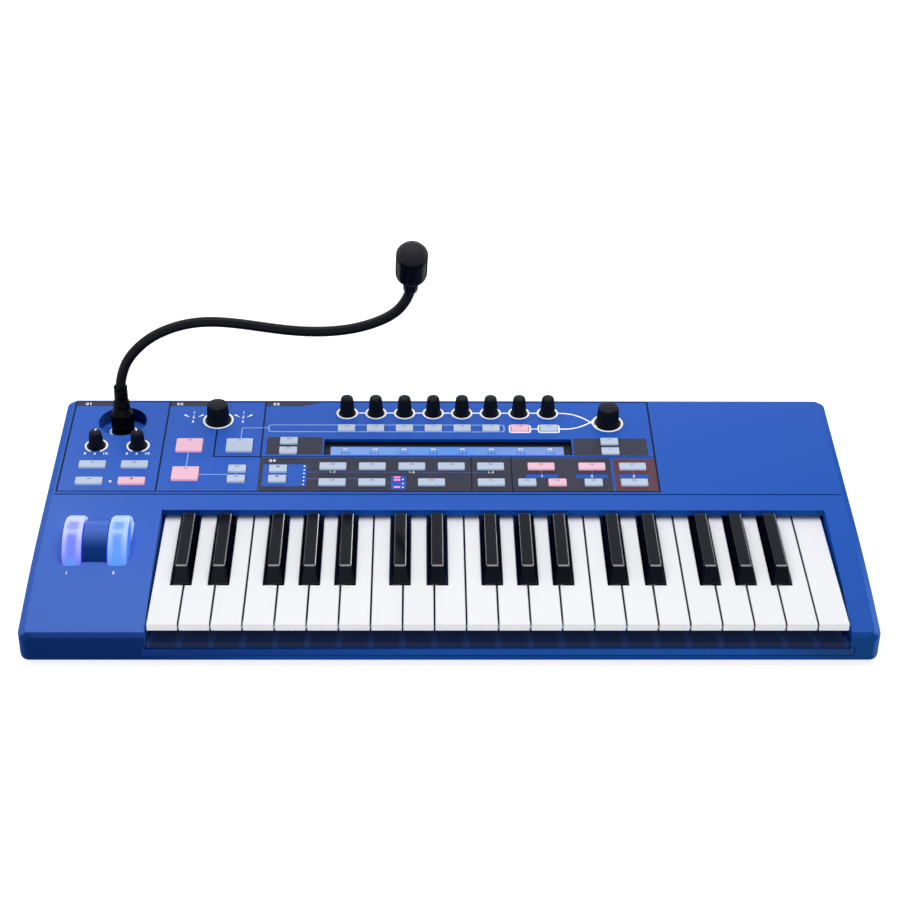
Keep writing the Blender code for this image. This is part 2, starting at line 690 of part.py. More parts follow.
def build_lower_case():
    """The base plate with its feet, front lip and the posts that carry the wheels."""
    half = CASE_WIDTH / 2 - RIM_WIDTH - SEAM
    front, rear = FRONT + RIM_WIDTH + SEAM, REAR - RIM_WIDTH - SEAM
    base = boxes("lower_case", [((-half, front, FOOT_HEIGHT), (half, rear, FLOOR_TOP))], BLUE)

    lip_left, lip_right = WELL_LEFT - LIP_REACH + SEAM, WELL_RIGHT + LIP_REACH - SEAM
    well_left, well_right = WELL_LEFT + SEAM, WELL_RIGHT - SEAM
    wall_rear = front + 2 * MM
    outline = [
        (FRONT, LIP_BOTTOM + SEAM / 3),
        (front, LIP_BOTTOM + SEAM / 3),
        (front, FOOT_HEIGHT + WALL / 2),
        (wall_rear, FOOT_HEIGHT + WALL / 2),
        (wall_rear, LIP_TOP),
        (FRONT + 0.8 * MM, LIP_TOP),
        (FRONT, LIP_TOP - 0.8 * MM),
    ]
    fuse(base, plate("front_lip", outline, well_left, well_right, plane="yz"))
    ear_rear = front + SEAM
    ears = [
        ((lip_left, FRONT, LIP_BOTTOM + SEAM / 3), (well_left + WALL / 2, ear_rear, LIP_TOP)),
        ((well_right - WALL / 2, FRONT, LIP_BOTTOM + SEAM / 3), (lip_right, ear_rear, LIP_TOP)),
    ]
    fuse(base, boxes("lip_ends", ears))
    turn_up = [
        ((lip_left, FRONT, LIP_TOP - WALL / 2), (WELL_LEFT - SEAM, ear_rear, LIP_TOP + LIP_EAR)),
        ((WELL_RIGHT + SEAM, FRONT, LIP_TOP - WALL / 2), (lip_right, ear_rear, LIP_TOP + LIP_EAR)),
    ]
    fuse(base, boxes("lip_turn_ups", turn_up))

    feet = []
    for x in (-1, 1):
        for y in (-1, 1):
            centre = (
                x * (CASE_WIDTH / 2 - FOOT_INSET),
                y * (CASE_DEPTH / 2 - FOOT_INSET),
                (FOOT_HEIGHT + WALL / 2) / 2,
            )
            feet.append((centre, FOOT_RADIUS, FOOT_HEIGHT + WALL / 2, "z"))
    fuse(base, cylinders("feet", feet))

    half_post = POST_THICKNESS / 2
    reach = WHEEL_WIDTH / 2 + 2 * WHEEL_GAP + half_post
    post_places = {
        "left": KEYS_LEFT + PITCH_WHEEL_U - reach,
        "right": KEYS_LEFT + MOD_WHEEL_U + reach,
        "middle_left": KEYS_LEFT + PITCH_WHEEL_U + reach,
        "middle_right": KEYS_LEFT + MOD_WHEEL_U - reach,
    }
    posts, notches = [], []
    for x in post_places.values():
        low = (x - half_post, WHEEL_Y - HUB_RADIUS, FLOOR_TOP - WALL / 2)
        posts.append((low, (x + half_post, WHEEL_Y + HUB_RADIUS, POST_TOP)))
        slot = AXLE_RADIUS + RUNNING_GAP
        low = (x - 2 * half_post, WHEEL_Y - slot, WHEEL_Z)
        notches.append((low, (x + 2 * half_post, WHEEL_Y + slot, WHEEL_Z + 2 * HUB_RADIUS)))
    fuse(base, boxes("wheel_posts", posts))
    cut(base, boxes("post_slots", notches))
    seats = [
        ((x, WHEEL_Y, WHEEL_Z), AXLE_RADIUS + RUNNING_GAP, 4 * half_post, "x")
        for x in post_places.values()
    ]
    cut(base, cylinders("axle_seats", seats, sides=16))
    return base


def bead_arc(radius, half_web, steps=8):
    """The pivot bead's outline above the web, from its front side over the top to its back."""
    neck = math.asin(half_web / radius)
    start = -math.pi / 2 - neck
    sweep = -2 * (math.pi - neck)
    points = []
    for k in range(steps + 1):
        angle = start + sweep * k / steps
        points.append((PIVOT_Y + radius * math.cos(angle), PIVOT_Z + radius * math.sin(angle)))
    return points


def white_spans():
    """(index, left x, right x, slot on the left, slot on the right) of the white keys."""
    spans = []
    for index in range(WHITE_COUNT):
        left = KEYS_LEFT + index * KEY_PITCH + KEY_GAP / 2
        right = left + KEY_PITCH - KEY_GAP
        spans.append((index, left, right, index > 0 and index - 1, index))
    return spans


def sharp_centre(index):
    """The middle of the black key after a white key, or None where there is none."""
    if index < 0 or index >= WHITE_COUNT - 1 or not SHARP_SLOTS[index % 7]:
        return None
    octave, step = divmod(index, 7)
    first, whites, slot = (0, 3, step) if step < 3 else (3, 4, step - 3)
    # The tails of three or four white keys and their black keys share the width evenly.
    share = whites * KEY_PITCH / (2 * whites - 1)
    return KEYS_LEFT + (octave * 7 + first) * KEY_PITCH + (2 * slot + 1.5) * share


def white_outline(index, inset):
    """Plan of a white key, narrowed by the black keys beside it."""
    left = KEYS_LEFT + index * KEY_PITCH + KEY_GAP / 2 + inset
    right = KEYS_LEFT + (index + 1) * KEY_PITCH - KEY_GAP / 2 - inset
    front = KEYS_FRONT + inset
    back = PIVOT_Y + TAIL_END if not inset else PIVOT_Y - PIVOT_BEAD - 3 * KEY_WALL
    step = KEYS_FRONT + SHARP_FRONT - SHARP_CLEARANCE - inset
    reach = SHARP_BASE / 2 + SHARP_CLEARANCE + inset
    before, after = sharp_centre(index - 1), sharp_centre(index)
    outline = [(left, front), (right, front)]
    if after is None:
        outline.append((right, back))
    else:
        outline += [(right, step), (after - reach, step), (after - reach, back)]
    if before is None:
        outline.append((left, back))
    else:
        outline += [(before + reach, back), (before + reach, step), (left, step)]
    return outline


def shared_key_cutters():
    """The pivot slot and the hollow under the front edge, cut from every key in one line."""
    slot = PIVOT_BEAD + RUNNING_GAP
    span = (KEYS_LEFT - WALL, KEYS_RIGHT + WALL)
    bead = cylinders(
        "pivot_bore",
        [(((span[0] + span[1]) / 2, PIVOT_Y, PIVOT_Z), slot, span[1] - span[0], "x")],
        sides=12,
    )
    web = boxes(
        "pivot_slot",
        [((span[0], PIVOT_Y - slot, 0), (span[1], PIVOT_Y + slot, PIVOT_Z))],
    )
    lip = boxes(
        "lip_hollow",
        [((span[0], -FAR, 0), (span[1], KEYS_FRONT + KEY_LIP_REACH, KEY_TOP - KEY_LIP))],
    )
    return bead, web, lip


def add_to_pivot(obj):
    """Put the object's origin on the key pivot without moving its surface."""
    centre = Vector((sum(corner[0] for corner in obj.bound_box) / 8, PIVOT_Y, PIVOT_Z))
    obj.data.transform(Matrix.Translation(-centre))
    obj.location = centre


def build_white_keys(cutters):
    bead, web, lip = cutters
    for index in range(WHITE_COUNT):
        low = KEY_TOP - KEY_HEIGHT
        key = plate(f"white_key_{index + 1:02d}", white_outline(index, 0), low, KEY_TOP, material=WHITE)
        bevel_by_angle(key, KEY_ROUND, 1)
        hollow = plate(
            f"white_hollow_{index + 1:02d}",
            white_outline(index, KEY_WALL),
            low - WALL,
            KEY_TOP - KEY_WALL,
        )
        cut(key, hollow)
        for cutter in (lip, bead, web):
            boolean(key, cutter, "DIFFERENCE")
        add_to_pivot(key)


def sharp_cap(name, centre):
    """The tapered upper part of a black key, with a sloping nose."""
    front, back = KEYS_FRONT + SHARP_FRONT, KEYS_FRONT + SHARP_FRONT + SHARP_LENGTH
    low, high = KEY_TOP - KEY_LIP, KEY_TOP + SHARP_RISE
    cap = boxes(name, [((centre - SHARP_BASE / 2, front, low), (centre + SHARP_BASE / 2, back, high))], BLACK)
    for vert in cap.data.vertices:
        if vert.co.z > KEY_TOP:
            vert.co.x = centre + (vert.co.x - centre) * SHARP_TOP / SHARP_BASE
            vert.co.y += SHARP_NOSE if vert.co.y < (front + back) / 2 else -SHARP_NOSE / 4
    return cap


def build_black_keys(cutters):
    bead, web, _ = cutters
    count = 0
    for index in range(WHITE_COUNT):
        centre = sharp_centre(index)
        if centre is None:
            continue
        count += 1
        key = sharp_cap(f"black_key_{count:02d}", centre)
        bevel_by_angle(key, 1.4 * KEY_ROUND, 1)
        low = (centre - SHARP_ARM / 2, KEYS_FRONT + SHARP_FRONT + 2 * KEY_WALL, KEY_TOP - KEY_HEIGHT)
        high = (centre + SHARP_ARM / 2, PIVOT_Y + TAIL_END, KEY_TOP - SEAM)
        fuse(key, boxes(f"black_arm_{count:02d}", [(low, high)]))
        boolean(key, bead, "DIFFERENCE")
        boolean(key, web, "DIFFERENCE")
        add_to_pivot(key)


def build_keybed():
    """The chassis under the keys: front strip, down stop and the beaded rail that they pivot on."""
    low = FLOOR_TOP + SEAM
    sheet = 1.8 * MM
    wall_front = FRONT + RIM_WIDTH + SEAM + 2 * MM + 2 * SEAM
    wall_top = KEY_TOP - KEY_HEIGHT - 2.5 * MM
    shelf = LIP_TOP + 2 * SEAM
    strip_front = FRONT + 1.6 * MM
    stop_y, stop_deep = KEYS_FRONT + 62 * MM, 9 * MM
    dip = math.radians(3.1)
    stop_top = KEY_TOP - KEY_HEIGHT - (PIVOT_BACK - 62 * MM) * math.tan(dip) - 2 * SEAM
    rear = PIVOT_Y + 22 * MM
    half_web = PIVOT_WEB / 2
    outline = [
        (wall_front, low),
        (rear, low),
        (rear, low + 6 * MM),
        (rear - sheet, low + 6 * MM),
        (rear - sheet, low + sheet),
        (PIVOT_Y + half_web, low + sheet),
    ]
    outline += list(reversed(bead_arc(PIVOT_BEAD, half_web)))
    outline += [
        (PIVOT_Y - half_web, low + sheet),
        (stop_y + stop_deep, low + sheet),
        (stop_y + stop_deep, stop_top),
        (stop_y, stop_top),
        (stop_y, low + sheet),
        (wall_front + sheet, low + sheet),
        (wall_front + sheet, shelf + sheet),
        (strip_front + sheet, shelf + sheet),
        (strip_front + sheet, wall_top),
        (strip_front, wall_top),
        (strip_front, shelf),
        (wall_front, shelf),
    ]
    left, right = WELL_LEFT + 2 * SEAM, WELL_RIGHT - 2 * SEAM
    bed = plate("keybed_frame", outline, left, right, plane="yz", material=CHASSIS)
    posts = []
    for index in range(WHITE_COUNT):
        x = KEYS_LEFT + (index + 0.5) * KEY_PITCH
        base = (x - 1.6 * MM, KEYS_FRONT + 22 * MM, low + sheet / 2)
        posts.append((base, (x + 1.6 * MM, KEYS_FRONT + 27 * MM, KEY_TOP - KEY_HEIGHT + MM)))
    fuse(bed, boxes("key_guides", posts))
    return bed


def wheel_outline():
    """Side view of a wheel: a rim over the arc that shows as it swings, and a hub below it."""
    reach = math.acos((PANEL_FRONT_HEIGHT - WHEEL_Z) * 0.8 / WHEEL_RADIUS) + WHEEL_SWING
    steps = 20
    points = []
    for k in range(steps + 1):
        angle = math.pi / 2 + reach - 2 * reach * k / steps
        points.append((WHEEL_RADIUS * math.cos(angle), WHEEL_RADIUS * math.sin(angle)))
    for k in range(5):
        angle = -math.radians(20 + 35 * k)
        points.append((HUB_RADIUS * math.cos(angle), HUB_RADIUS * math.sin(angle)))
    return points


def build_wheel(name, u):
    half = WHEEL_WIDTH / 2
    wheel = plate(name, wheel_outline(), -half, half, plane="yz", material=GLOW)
    bevel_by_angle(wheel, WHEEL_ROUND, 2)
    dimple_radius, dimple_depth = 7 * MM, 1.8 * MM
    dimple = cylinders(
        f"{name}_dimple",
        [((0, 0, WHEEL_RADIUS - dimple_depth + dimple_radius), dimple_radius, WHEEL_WIDTH * 0.62, "x")],
    )
    cut(wheel, dimple)
    axle_length = WHEEL_WIDTH + 2 * (2 * WHEEL_GAP + POST_THICKNESS)
    fuse(wheel, cylinders(f"{name}_axle", [((0, 0, 0), AXLE_RADIUS, axle_length, "x")], sides=16))
    for piece in (wheel, dimple, bpy.data.objects[f"{name}_axle"]):
        piece.location = wheel_matrix(u).translation
    return wheel


KNOB_PROFILES = {
    "encoder": ((4.3, 15.6), (5.2, 14.2), (5.7, 5.0), (6.1, 2.2), (7.2, 0.6), (7.2, 0.0)),
    "pot": ((4.2, 13.8), (5.1, 12.6), (5.9, 4.0), (6.3, 2.0), (7.4, 0.6), (7.4, 0.0)),
    "large": ((7.6, 15.8), (8.6, 14.6), (10.1, 1.6), (10.4, 0.8), (10.4, 0.0)),
}


def build_knobs():
    """Turned knobs, each with the stub of its shaft in the panel's hole."""
    for name, place, kind in knob_places():
        outer = [(radius * MM, height * MM) for radius, height in KNOB_PROFILES[kind]]
        shaft = [(SHAFT_RADIUS, 0), (SHAFT_RADIUS, -SHAFT_DEPTH), (0, -SHAFT_DEPTH)]
        profile = [(0, outer[0][1] + 0.2 * MM)] + outer + shaft
        knob = turned(name, profile, RUBBER, 16 if kind == "large" else 12)
        knob.location = on_panel(*place, KNOB_LIFT)
        knob.rotation_euler.x = PANEL_TILT


def build_button_pad():
    """The silicone pad: one sheet under the panel with a raised cap for each button."""
    top = -WALL - SEAM
    low = top - PAD_THICKNESS
    edge = 5 * MM
    places = button_places()
    knobs_left = VOLUME_KNOB[0] - WIDE_CAP / 2 - edge
    display_left, display_right = DISPLAY_LOW[0], DISPLAY_HIGH[0]
    frame = DISPLAY_FRAME + 2 * SEAM
    bottom = min(v - deep / 2 for _, v, _, deep in places) - edge
    edit_top = DISPLAY_LOW[1] - frame
    edit_right = max(u + wide / 2 for u, _, wide, _ in places) + edge
    right_column = 356.8 * MM
    left_column = 93.6 * MM
    column = SMALL_CAP / 2 + edge / 2
    row_low, row_high = 104.5 * MM, 118 * MM
    row_end = FIRST_ENCODER[0] + (ENCODER_COUNT - 1) * ENCODER_PITCH + SMALL_CAP / 2 + edge
    outline = [
        (knobs_left, bottom),
        (edit_right, bottom),
        (edit_right, edit_top),
        (right_column + column, edit_top),
        (right_column + column, 98 * MM),
        (max(right_column - column, display_right + frame), 98 * MM),
        (max(right_column - column, display_right + frame), edit_top),
        (min(left_column + column, display_left - frame), edit_top),
        (min(left_column + column, display_left - frame), row_low),
        (row_end, row_low),
        (row_end, row_high),
        (left_column - column, row_high),
        (left_column - column, edit_top),
        (66.5 * MM, edit_top),
        (66.5 * MM, 97 * MM),
        (0, 97 * MM),
        (0, edit_top),
        (knobs_left, edit_top),
    ]
    pad = plate("button_pad", outline, low, top, material=SILICONE, matrix=PANEL_MATRIX)
    caps = cap_windows(places, 0.0, low + PAD_THICKNESS / 2, CAP_RISE, "button_caps")
    bevel_by_angle(caps, CAP_ROUND, 1)
    fuse(pad, caps)
    return pad


def build_display():
    """The display: a framed glass that sits under the window in the panel."""
    low = (DISPLAY_LOW[0] - DISPLAY_FRAME, DISPLAY_LOW[1] - DISPLAY_FRAME, -DISPLAY_HEIGHT)
    high = (DISPLAY_HIGH[0] + DISPLAY_FRAME, DISPLAY_HIGH[1] + DISPLAY_FRAME, -WALL - SEAM)
    display = boxes("display_module", [(low, high)], GLASS, matrix=PANEL_MATRIX)
    cut(
        display,
        boxes(
            "glass_recess",
            [((*DISPLAY_LOW, -DISPLAY_RECESS), (*DISPLAY_HIGH, WALL))],
            matrix=PANEL_MATRIX,
        ),
    )
    return display


def build_socket_board():
    """The rear circuit board with its sockets, whose noses fill the holes in the rear wall."""
    rear = REAR - WALL - SEAM
    board_low = SOCKET_HEIGHT - 10 * MM
    board_top = board_low + BOARD_THICKNESS
    board = boxes(
        "socket_board",
        [((BOARD_LEFT, rear - BOARD_DEPTH, board_low), (BOARD_RIGHT, rear, board_top))],
        BOARD,
    )
    bodies, noses, square_noses, bores, pockets = [], [], [], [], []
    nose_length = 2 * WALL
    for kind, x, wide, tall in socket_items():
        body_deep = 24 * MM if kind == "jack" else 14 * MM
        low = (x - wide - MM, rear - body_deep, board_top - BOARD_THICKNESS / 2)
        bodies.append((low, (x + wide + MM, rear, SOCKET_HEIGHT + tall + MM)))
        flush = REAR - SEAM
        if kind in ("usb", "switch"):
            low = (x - wide, rear - WALL, SOCKET_HEIGHT - tall)
            square_noses.append((low, (x + wide, flush, SOCKET_HEIGHT + tall)))
        else:
            centre = (x, flush - nose_length / 2, SOCKET_HEIGHT)
            noses.append((centre, wide, nose_length, "y"))
        bore = {"jack": (JACK_BORE, 22 * MM), "midi": (6.6 * MM, 5 * MM), "phono": (1.7 * MM, 8 * MM),
                "power": (2.9 * MM, 9 * MM)}.get(kind)
        if bore:
            bores.append(((x, REAR, SOCKET_HEIGHT), bore[0], 2 * bore[1], "y"))
        else:
            depth = 8 * MM if kind == "usb" else 1 * MM
            pocket_low = (x - wide + MM, flush - depth, SOCKET_HEIGHT - tall + MM)
            pockets.append((pocket_low, (x + wide - MM, REAR + WALL, SOCKET_HEIGHT + tall - MM)))
    fuse(board, boxes("socket_bodies", bodies))
    fuse(board, cylinders("round_noses", noses, sides=12))
    fuse(board, boxes("square_noses", square_noses))
    cut(board, cylinders("socket_bores", bores, sides=10))
    cut(board, boxes("socket_pockets", pockets))
    pins = [((USB_PLACE * MM, REAR - 6 * MM, SOCKET_HEIGHT), 1.6 * MM, 8 * MM, "y")]
    fuse(board, cylinders("usb_tongue", pins, sides=8))
    return board


# Radius and height of the plug's outline, in millimetres, from its boot down to its base
PLUG_PROFILE = (
    (0.0, 42.0), (5.0, 42.0), (5.7, 41.2), (5.7, 39.4), (5.3, 39.0), (5.5, 29.2), (6.5, 28.4),
    (6.6, 26.2), (6.9, 21.6), (8.8, 19.2), (9.5, 16.6), (9.5, 7.6), (8.9, 7.1), (8.9, 5.6),
    (9.4, 5.1), (9.4, 0.4),
)


def plug_top():
    return mic_floor_matrix() @ Vector((0, 0, PLUG_HEIGHT))


def build_mic_connector():
    """The microphone's plug: nose in the socket, grooved shell, shoulder and boot."""
    scale = PLUG_HEIGHT / (42 * MM)
    width = PLUG_RADIUS / (9.5 * MM)
    profile = [(radius * MM * width, height * MM * scale) for radius, height in PLUG_PROFILE]
    profile += [(PLUG_NOSE_RADIUS, SEAM), (PLUG_NOSE_RADIUS, -PLUG_NOSE), (0, -PLUG_NOSE)]
    plug = turned("mic_connector", profile, MIC_BLACK, 16)
    floor = mic_floor_matrix()
    plug.location = floor.translation
    plug.rotation_euler = floor.to_euler()
    return plug


# The gooseneck's middle line from the plug to the head, in millimetres from the origin
NECK_ROUTE = (
    (-266.7, 118.3, 98), (-264.6, 118.6, 102.5), (-261.2, 119, 109.3), (-254.5, 119, 117.6),
    (-245.9, 119, 125.9), (-234, 119, 134), (-214, 118.5, 142.2), (-194.4, 118, 144.6),
    (-175, 117, 143.8), (-155.6, 116, 141.4), (-136.2, 115, 138.7), (-116.8, 114, 137.3),
    (-97.3, 113, 137.8), (-77.8, 111.5, 141), (-61.5, 110, 146.9), (-48.2, 108, 154.7),
    (-38.9, 106, 163.6), (-33.4, 104, 173),
)
NECK_END = Vector((-30.4 * MM, 102 * MM, 183.2 * MM))


def smooth_route(points, spacing):
    """Points at an even spacing along a smooth curve through the route's own points."""
    padded = [2 * points[0] - points[1]] + points + [2 * points[-1] - points[-2]]
    fine = [points[0]]
    for a, b, c, d in zip(padded, padded[1:], padded[2:], padded[3:]):
        for k in range(1, 13):
            t = k / 12
            fine.append(
                0.5
                * (
                    2 * b
                    + (c - a) * t
                    + (2 * a - 5 * b + 4 * c - d) * t * t
                    + (3 * b - a - 3 * c + d) * t**3
                )
            )
    even, carried = [fine[0]], 0.0
    for before, after in zip(fine, fine[1:]):
        carried += (after - before).length
        if carried >= spacing:
            even.append(after)
            carried = 0.0
    if (even[-1] - fine[-1]).length < 0.75 * spacing:
        even.pop()
    even.append(fine[-1])
    return even


def head_axis():
    return Vector((0.03, -math.sin(HEAD_LEAN), math.cos(HEAD_LEAN))).normalized()


def build_gooseneck():
    """The flexible neck: a tube with rounded ends that seats in the plug's boot and the collar."""
    plug_axis = (mic_floor_matrix().to_3x3() @ Vector((0, 0, 1))).normalized()
    start = plug_top() + plug_axis * SEAM
    end = NECK_END - head_axis() * SEAM
    route = [start, start + plug_axis * 2 * NECK_RADIUS]
    route += [Vector(point) * MM for point in NECK_ROUTE]
    route += [end - head_axis() * 1.6 * NECK_RADIUS, end]
    points = smooth_route(route, 2.6 * NECK_RADIUS)
    # Each end is half a ball about the centre that the neck turns on
    ends = []
    for degrees in (10, 32, 52, 72, 90):
        angle = math.radians(degrees)
        ends.append((1 - math.cos(angle), math.sin(angle)))
    rings = [(start + plug_axis * NECK_RADIUS * along, size) for along, size in ends]
    rings += [(point, 1.0) for point in points[1:-1]]
    rings += [(end - head_axis() * NECK_RADIUS * along, size) for along, size in reversed(ends)]
    return tube("gooseneck", rings, NECK_RADIUS, 10, MIC_BLACK)


def build_mic_head():
    """The microphone's head: collar, body and a domed grille."""
    body = COLLAR_LENGTH
    ring = body + HEAD_LENGTH
    profile = [(0, ring + HEAD_DOME)]
    for degrees in (20, 40, 60, 80):
        angle = math.radians(degrees)
        wide = (HEAD_RADIUS - 0.6 * MM) * math.sin(angle)
        profile.append((wide, ring + HEAD_DOME * math.cos(angle)))
    profile += [
        (HEAD_RADIUS - 0.6 * MM, ring),
        (HEAD_RADIUS, ring - 0.6 * MM),
        (HEAD_RADIUS, body + 2.5 * MM),
        (HEAD_RADIUS - 2.5 * MM, body),
        (COLLAR_RADIUS * 1.15, body - 1 * MM),
        (COLLAR_RADIUS, body - 5 * MM),
        (COLLAR_RADIUS, 1 * MM),
        (COLLAR_RADIUS - 0.8 * MM, 0),
        (0, 0),
    ]
    head = turned("mic_head", profile, MIC_BLACK, 20)
    head.location = NECK_END
    head.rotation_euler = Vector((0, 0, 1)).rotation_difference(head_axis()).to_euler()
    return head


def smooth_round_pieces():
    for obj in PARTS.objects:
        if obj.type == "MESH":
            obj.data.shade_smooth()
            obj.data.set_sharp_from_angle(angle=math.radians(35))


build_upper_case()
build_lower_case()
build_keybed()
key_cutters = [as_cutter(cutter) for cutter in shared_key_cutters()]
build_white_keys(key_cutters)
build_black_keys(key_cutters)
build_wheel("pitch_wheel", PITCH_WHEEL_U)
build_wheel("mod_wheel", MOD_WHEEL_U)
build_knobs()
build_button_pad()
build_display()
build_socket_board()
build_mic_connector()
build_gooseneck()
build_mic_head()
smooth_round_pieces()
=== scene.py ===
import math

import bmesh
import bpy
from mathutils import Matrix, Vector


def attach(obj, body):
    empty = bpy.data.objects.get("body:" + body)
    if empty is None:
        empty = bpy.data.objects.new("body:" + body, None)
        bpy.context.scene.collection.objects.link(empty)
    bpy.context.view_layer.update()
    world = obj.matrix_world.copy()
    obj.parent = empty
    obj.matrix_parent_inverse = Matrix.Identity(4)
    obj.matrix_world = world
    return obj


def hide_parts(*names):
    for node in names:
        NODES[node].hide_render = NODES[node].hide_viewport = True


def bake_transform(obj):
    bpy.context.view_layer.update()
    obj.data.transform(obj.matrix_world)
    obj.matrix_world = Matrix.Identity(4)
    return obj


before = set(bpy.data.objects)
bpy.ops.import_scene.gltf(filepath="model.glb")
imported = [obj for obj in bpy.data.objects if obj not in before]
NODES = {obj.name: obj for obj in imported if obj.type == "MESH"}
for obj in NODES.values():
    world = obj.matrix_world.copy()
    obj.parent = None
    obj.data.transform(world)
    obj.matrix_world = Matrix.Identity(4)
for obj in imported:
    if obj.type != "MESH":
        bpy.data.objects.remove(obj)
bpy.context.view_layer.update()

# The look of the synthesizer, in metres, in the frame of the CAD model.
MM = 0.001
# A length past everything, for cutters
FAR = 1.0
# Points nearer than this are merged after a cut
SLIVER = 2e-6

# Sizes that the CAD model has too
CASE_WIDTH, CASE_DEPTH = 638 * MM, 293 * MM
FRONT, REAR = -CASE_DEPTH / 2, CASE_DEPTH / 2
FOOT = 3.5 * MM
KEYS_LEFT, KEYS_FRONT = -223.85 * MM, -144 * MM
KEY_TOP, KEY_PITCH = 37 * MM, 23.571 * MM
WHITE_COUNT = 22
SHARPS = (True, True, False, True, True, True, False)
KEYS_RIGHT = KEYS_LEFT + WHITE_COUNT * KEY_PITCH
WELL_LEFT, WELL_RIGHT = KEYS_LEFT - 1.5 * MM, KEYS_RIGHT + 1.5 * MM
WELL_REAR = -7.3 * MM
PANEL_HEIGHT = 45.2 * MM
TILT, SLOPE = math.radians(3.04), math.radians(9.2)
WALL, SEAM = 3 * MM, 0.3 * MM
PIVOT_Y, PIVOT_Z = 41 * MM, 25 * MM
WHEEL_Y, WHEEL_Z, WHEEL_R, WHEEL_W = -45.3 * MM, 28 * MM, 31.2 * MM, 15 * MM
WHEEL_GAP = 0.8 * MM
PITCH_U, MOD_U = -63.9 * MM, -29.2 * MM
PANEL = Matrix.Translation((KEYS_LEFT, WELL_REAR, PANEL_HEIGHT)) @ Matrix.Rotation(TILT, 4, "X")
MIC_PLACE = (-45.8 * MM, 119.8 * MM)
MIC_FLOOR = PANEL @ Matrix.Translation((*MIC_PLACE, -9 * MM)) @ Matrix.Rotation(-math.atan(6 / 40), 4, "X")

# Places and sizes on the panel are in millimetres from here on: u along the keys, v up the slope.
POT_U = (-63.4, -29.4)
ENCODER_U = [140.3 + 23.94 * k for k in range(8)]
ENCODER_V = 133.8
KNOBS = [("volume_knob", (POT_U[0], 86.5), "pot"), ("balance_knob", (POT_U[1], 86.5), "pot")]
KNOBS += [("browse_knob", (33.3, 123.4), "large"), ("filter_knob", (357.3, 119.8), "large")]
KNOBS += [(f"encoder_knob_{k + 1}", (u, ENCODER_V), "encoder") for k, u in enumerate(ENCODER_U)]

WIDE, SMALL, TALL = (21.6, 8.7), (14.4, 8.7), (21.6, 17.3)
# Every button: its place, its size, whether it is lit, and its mark
BUTTONS = [
    (-63.4, 59.7, WIDE, False, "01"), (-29.4, 59.7, WIDE, False, "02"),
    (-63.4, 37.3, WIDE, False, "minus"), (-29.4, 37.3, WIDE, True, "plus"),
    (12.5, 86.3, TALL, True, "03"), (12.5, 47.1, TALL, True, "04"), (53.4, 86.3, TALL, False, "05"),
    (53.7, 53.9, SMALL, False, "06"), (53.7, 40.2, SMALL, False, "07"),
    (93.6, 92.6, SMALL, False, "08"), (93.6, 79.1, SMALL, False, "09"),
    (356.8, 92.0, SMALL, False, "10"), (356.8, 78.6, SMALL, False, "11"),
    (86.7, 53.9, SMALL, False, "up"), (86.7, 40.2, SMALL, False, "down"),
]
BUTTONS += [(u, 110.9, SMALL, k == 6, str(k + 12)) for k, u in enumerate(ENCODER_U)]
for v, size, places, lit, first in (
    (57.2, WIDE, (130.9, 162.7, 194.6, 226.5, 258.2, 299.1, 340.1, 373.1), (299.1, 340.1), 20),
    (35.5, WIDE, (130.9, 162.7, 210.4, 258.3, 373.0), (), 28),
    (35.5, SMALL, (287.1, 311.3, 340.3), (311.3,), 33),
):
    BUTTONS += [(u, v, size, u in lit, str(first + k)) for k, u in enumerate(places)]

# The rear sockets: their places along X and the height they share
JACKS, MIDI, PHONO = (-206, -184, -150, -128, -106, -84, -50, -28, 6), (42, 68, 94), (122, 140)
SOCKET_Z = 30


def linear(red, green, blue):
    """A colour written as 0 to 255 in sRGB, as the shaders take it."""
    shares = [value / 255 for value in (red, green, blue)]
    return (*(s / 12.92 if s <= 0.04045 else ((s + 0.055) / 1.055) ** 2.4 for s in shares), 1.0)


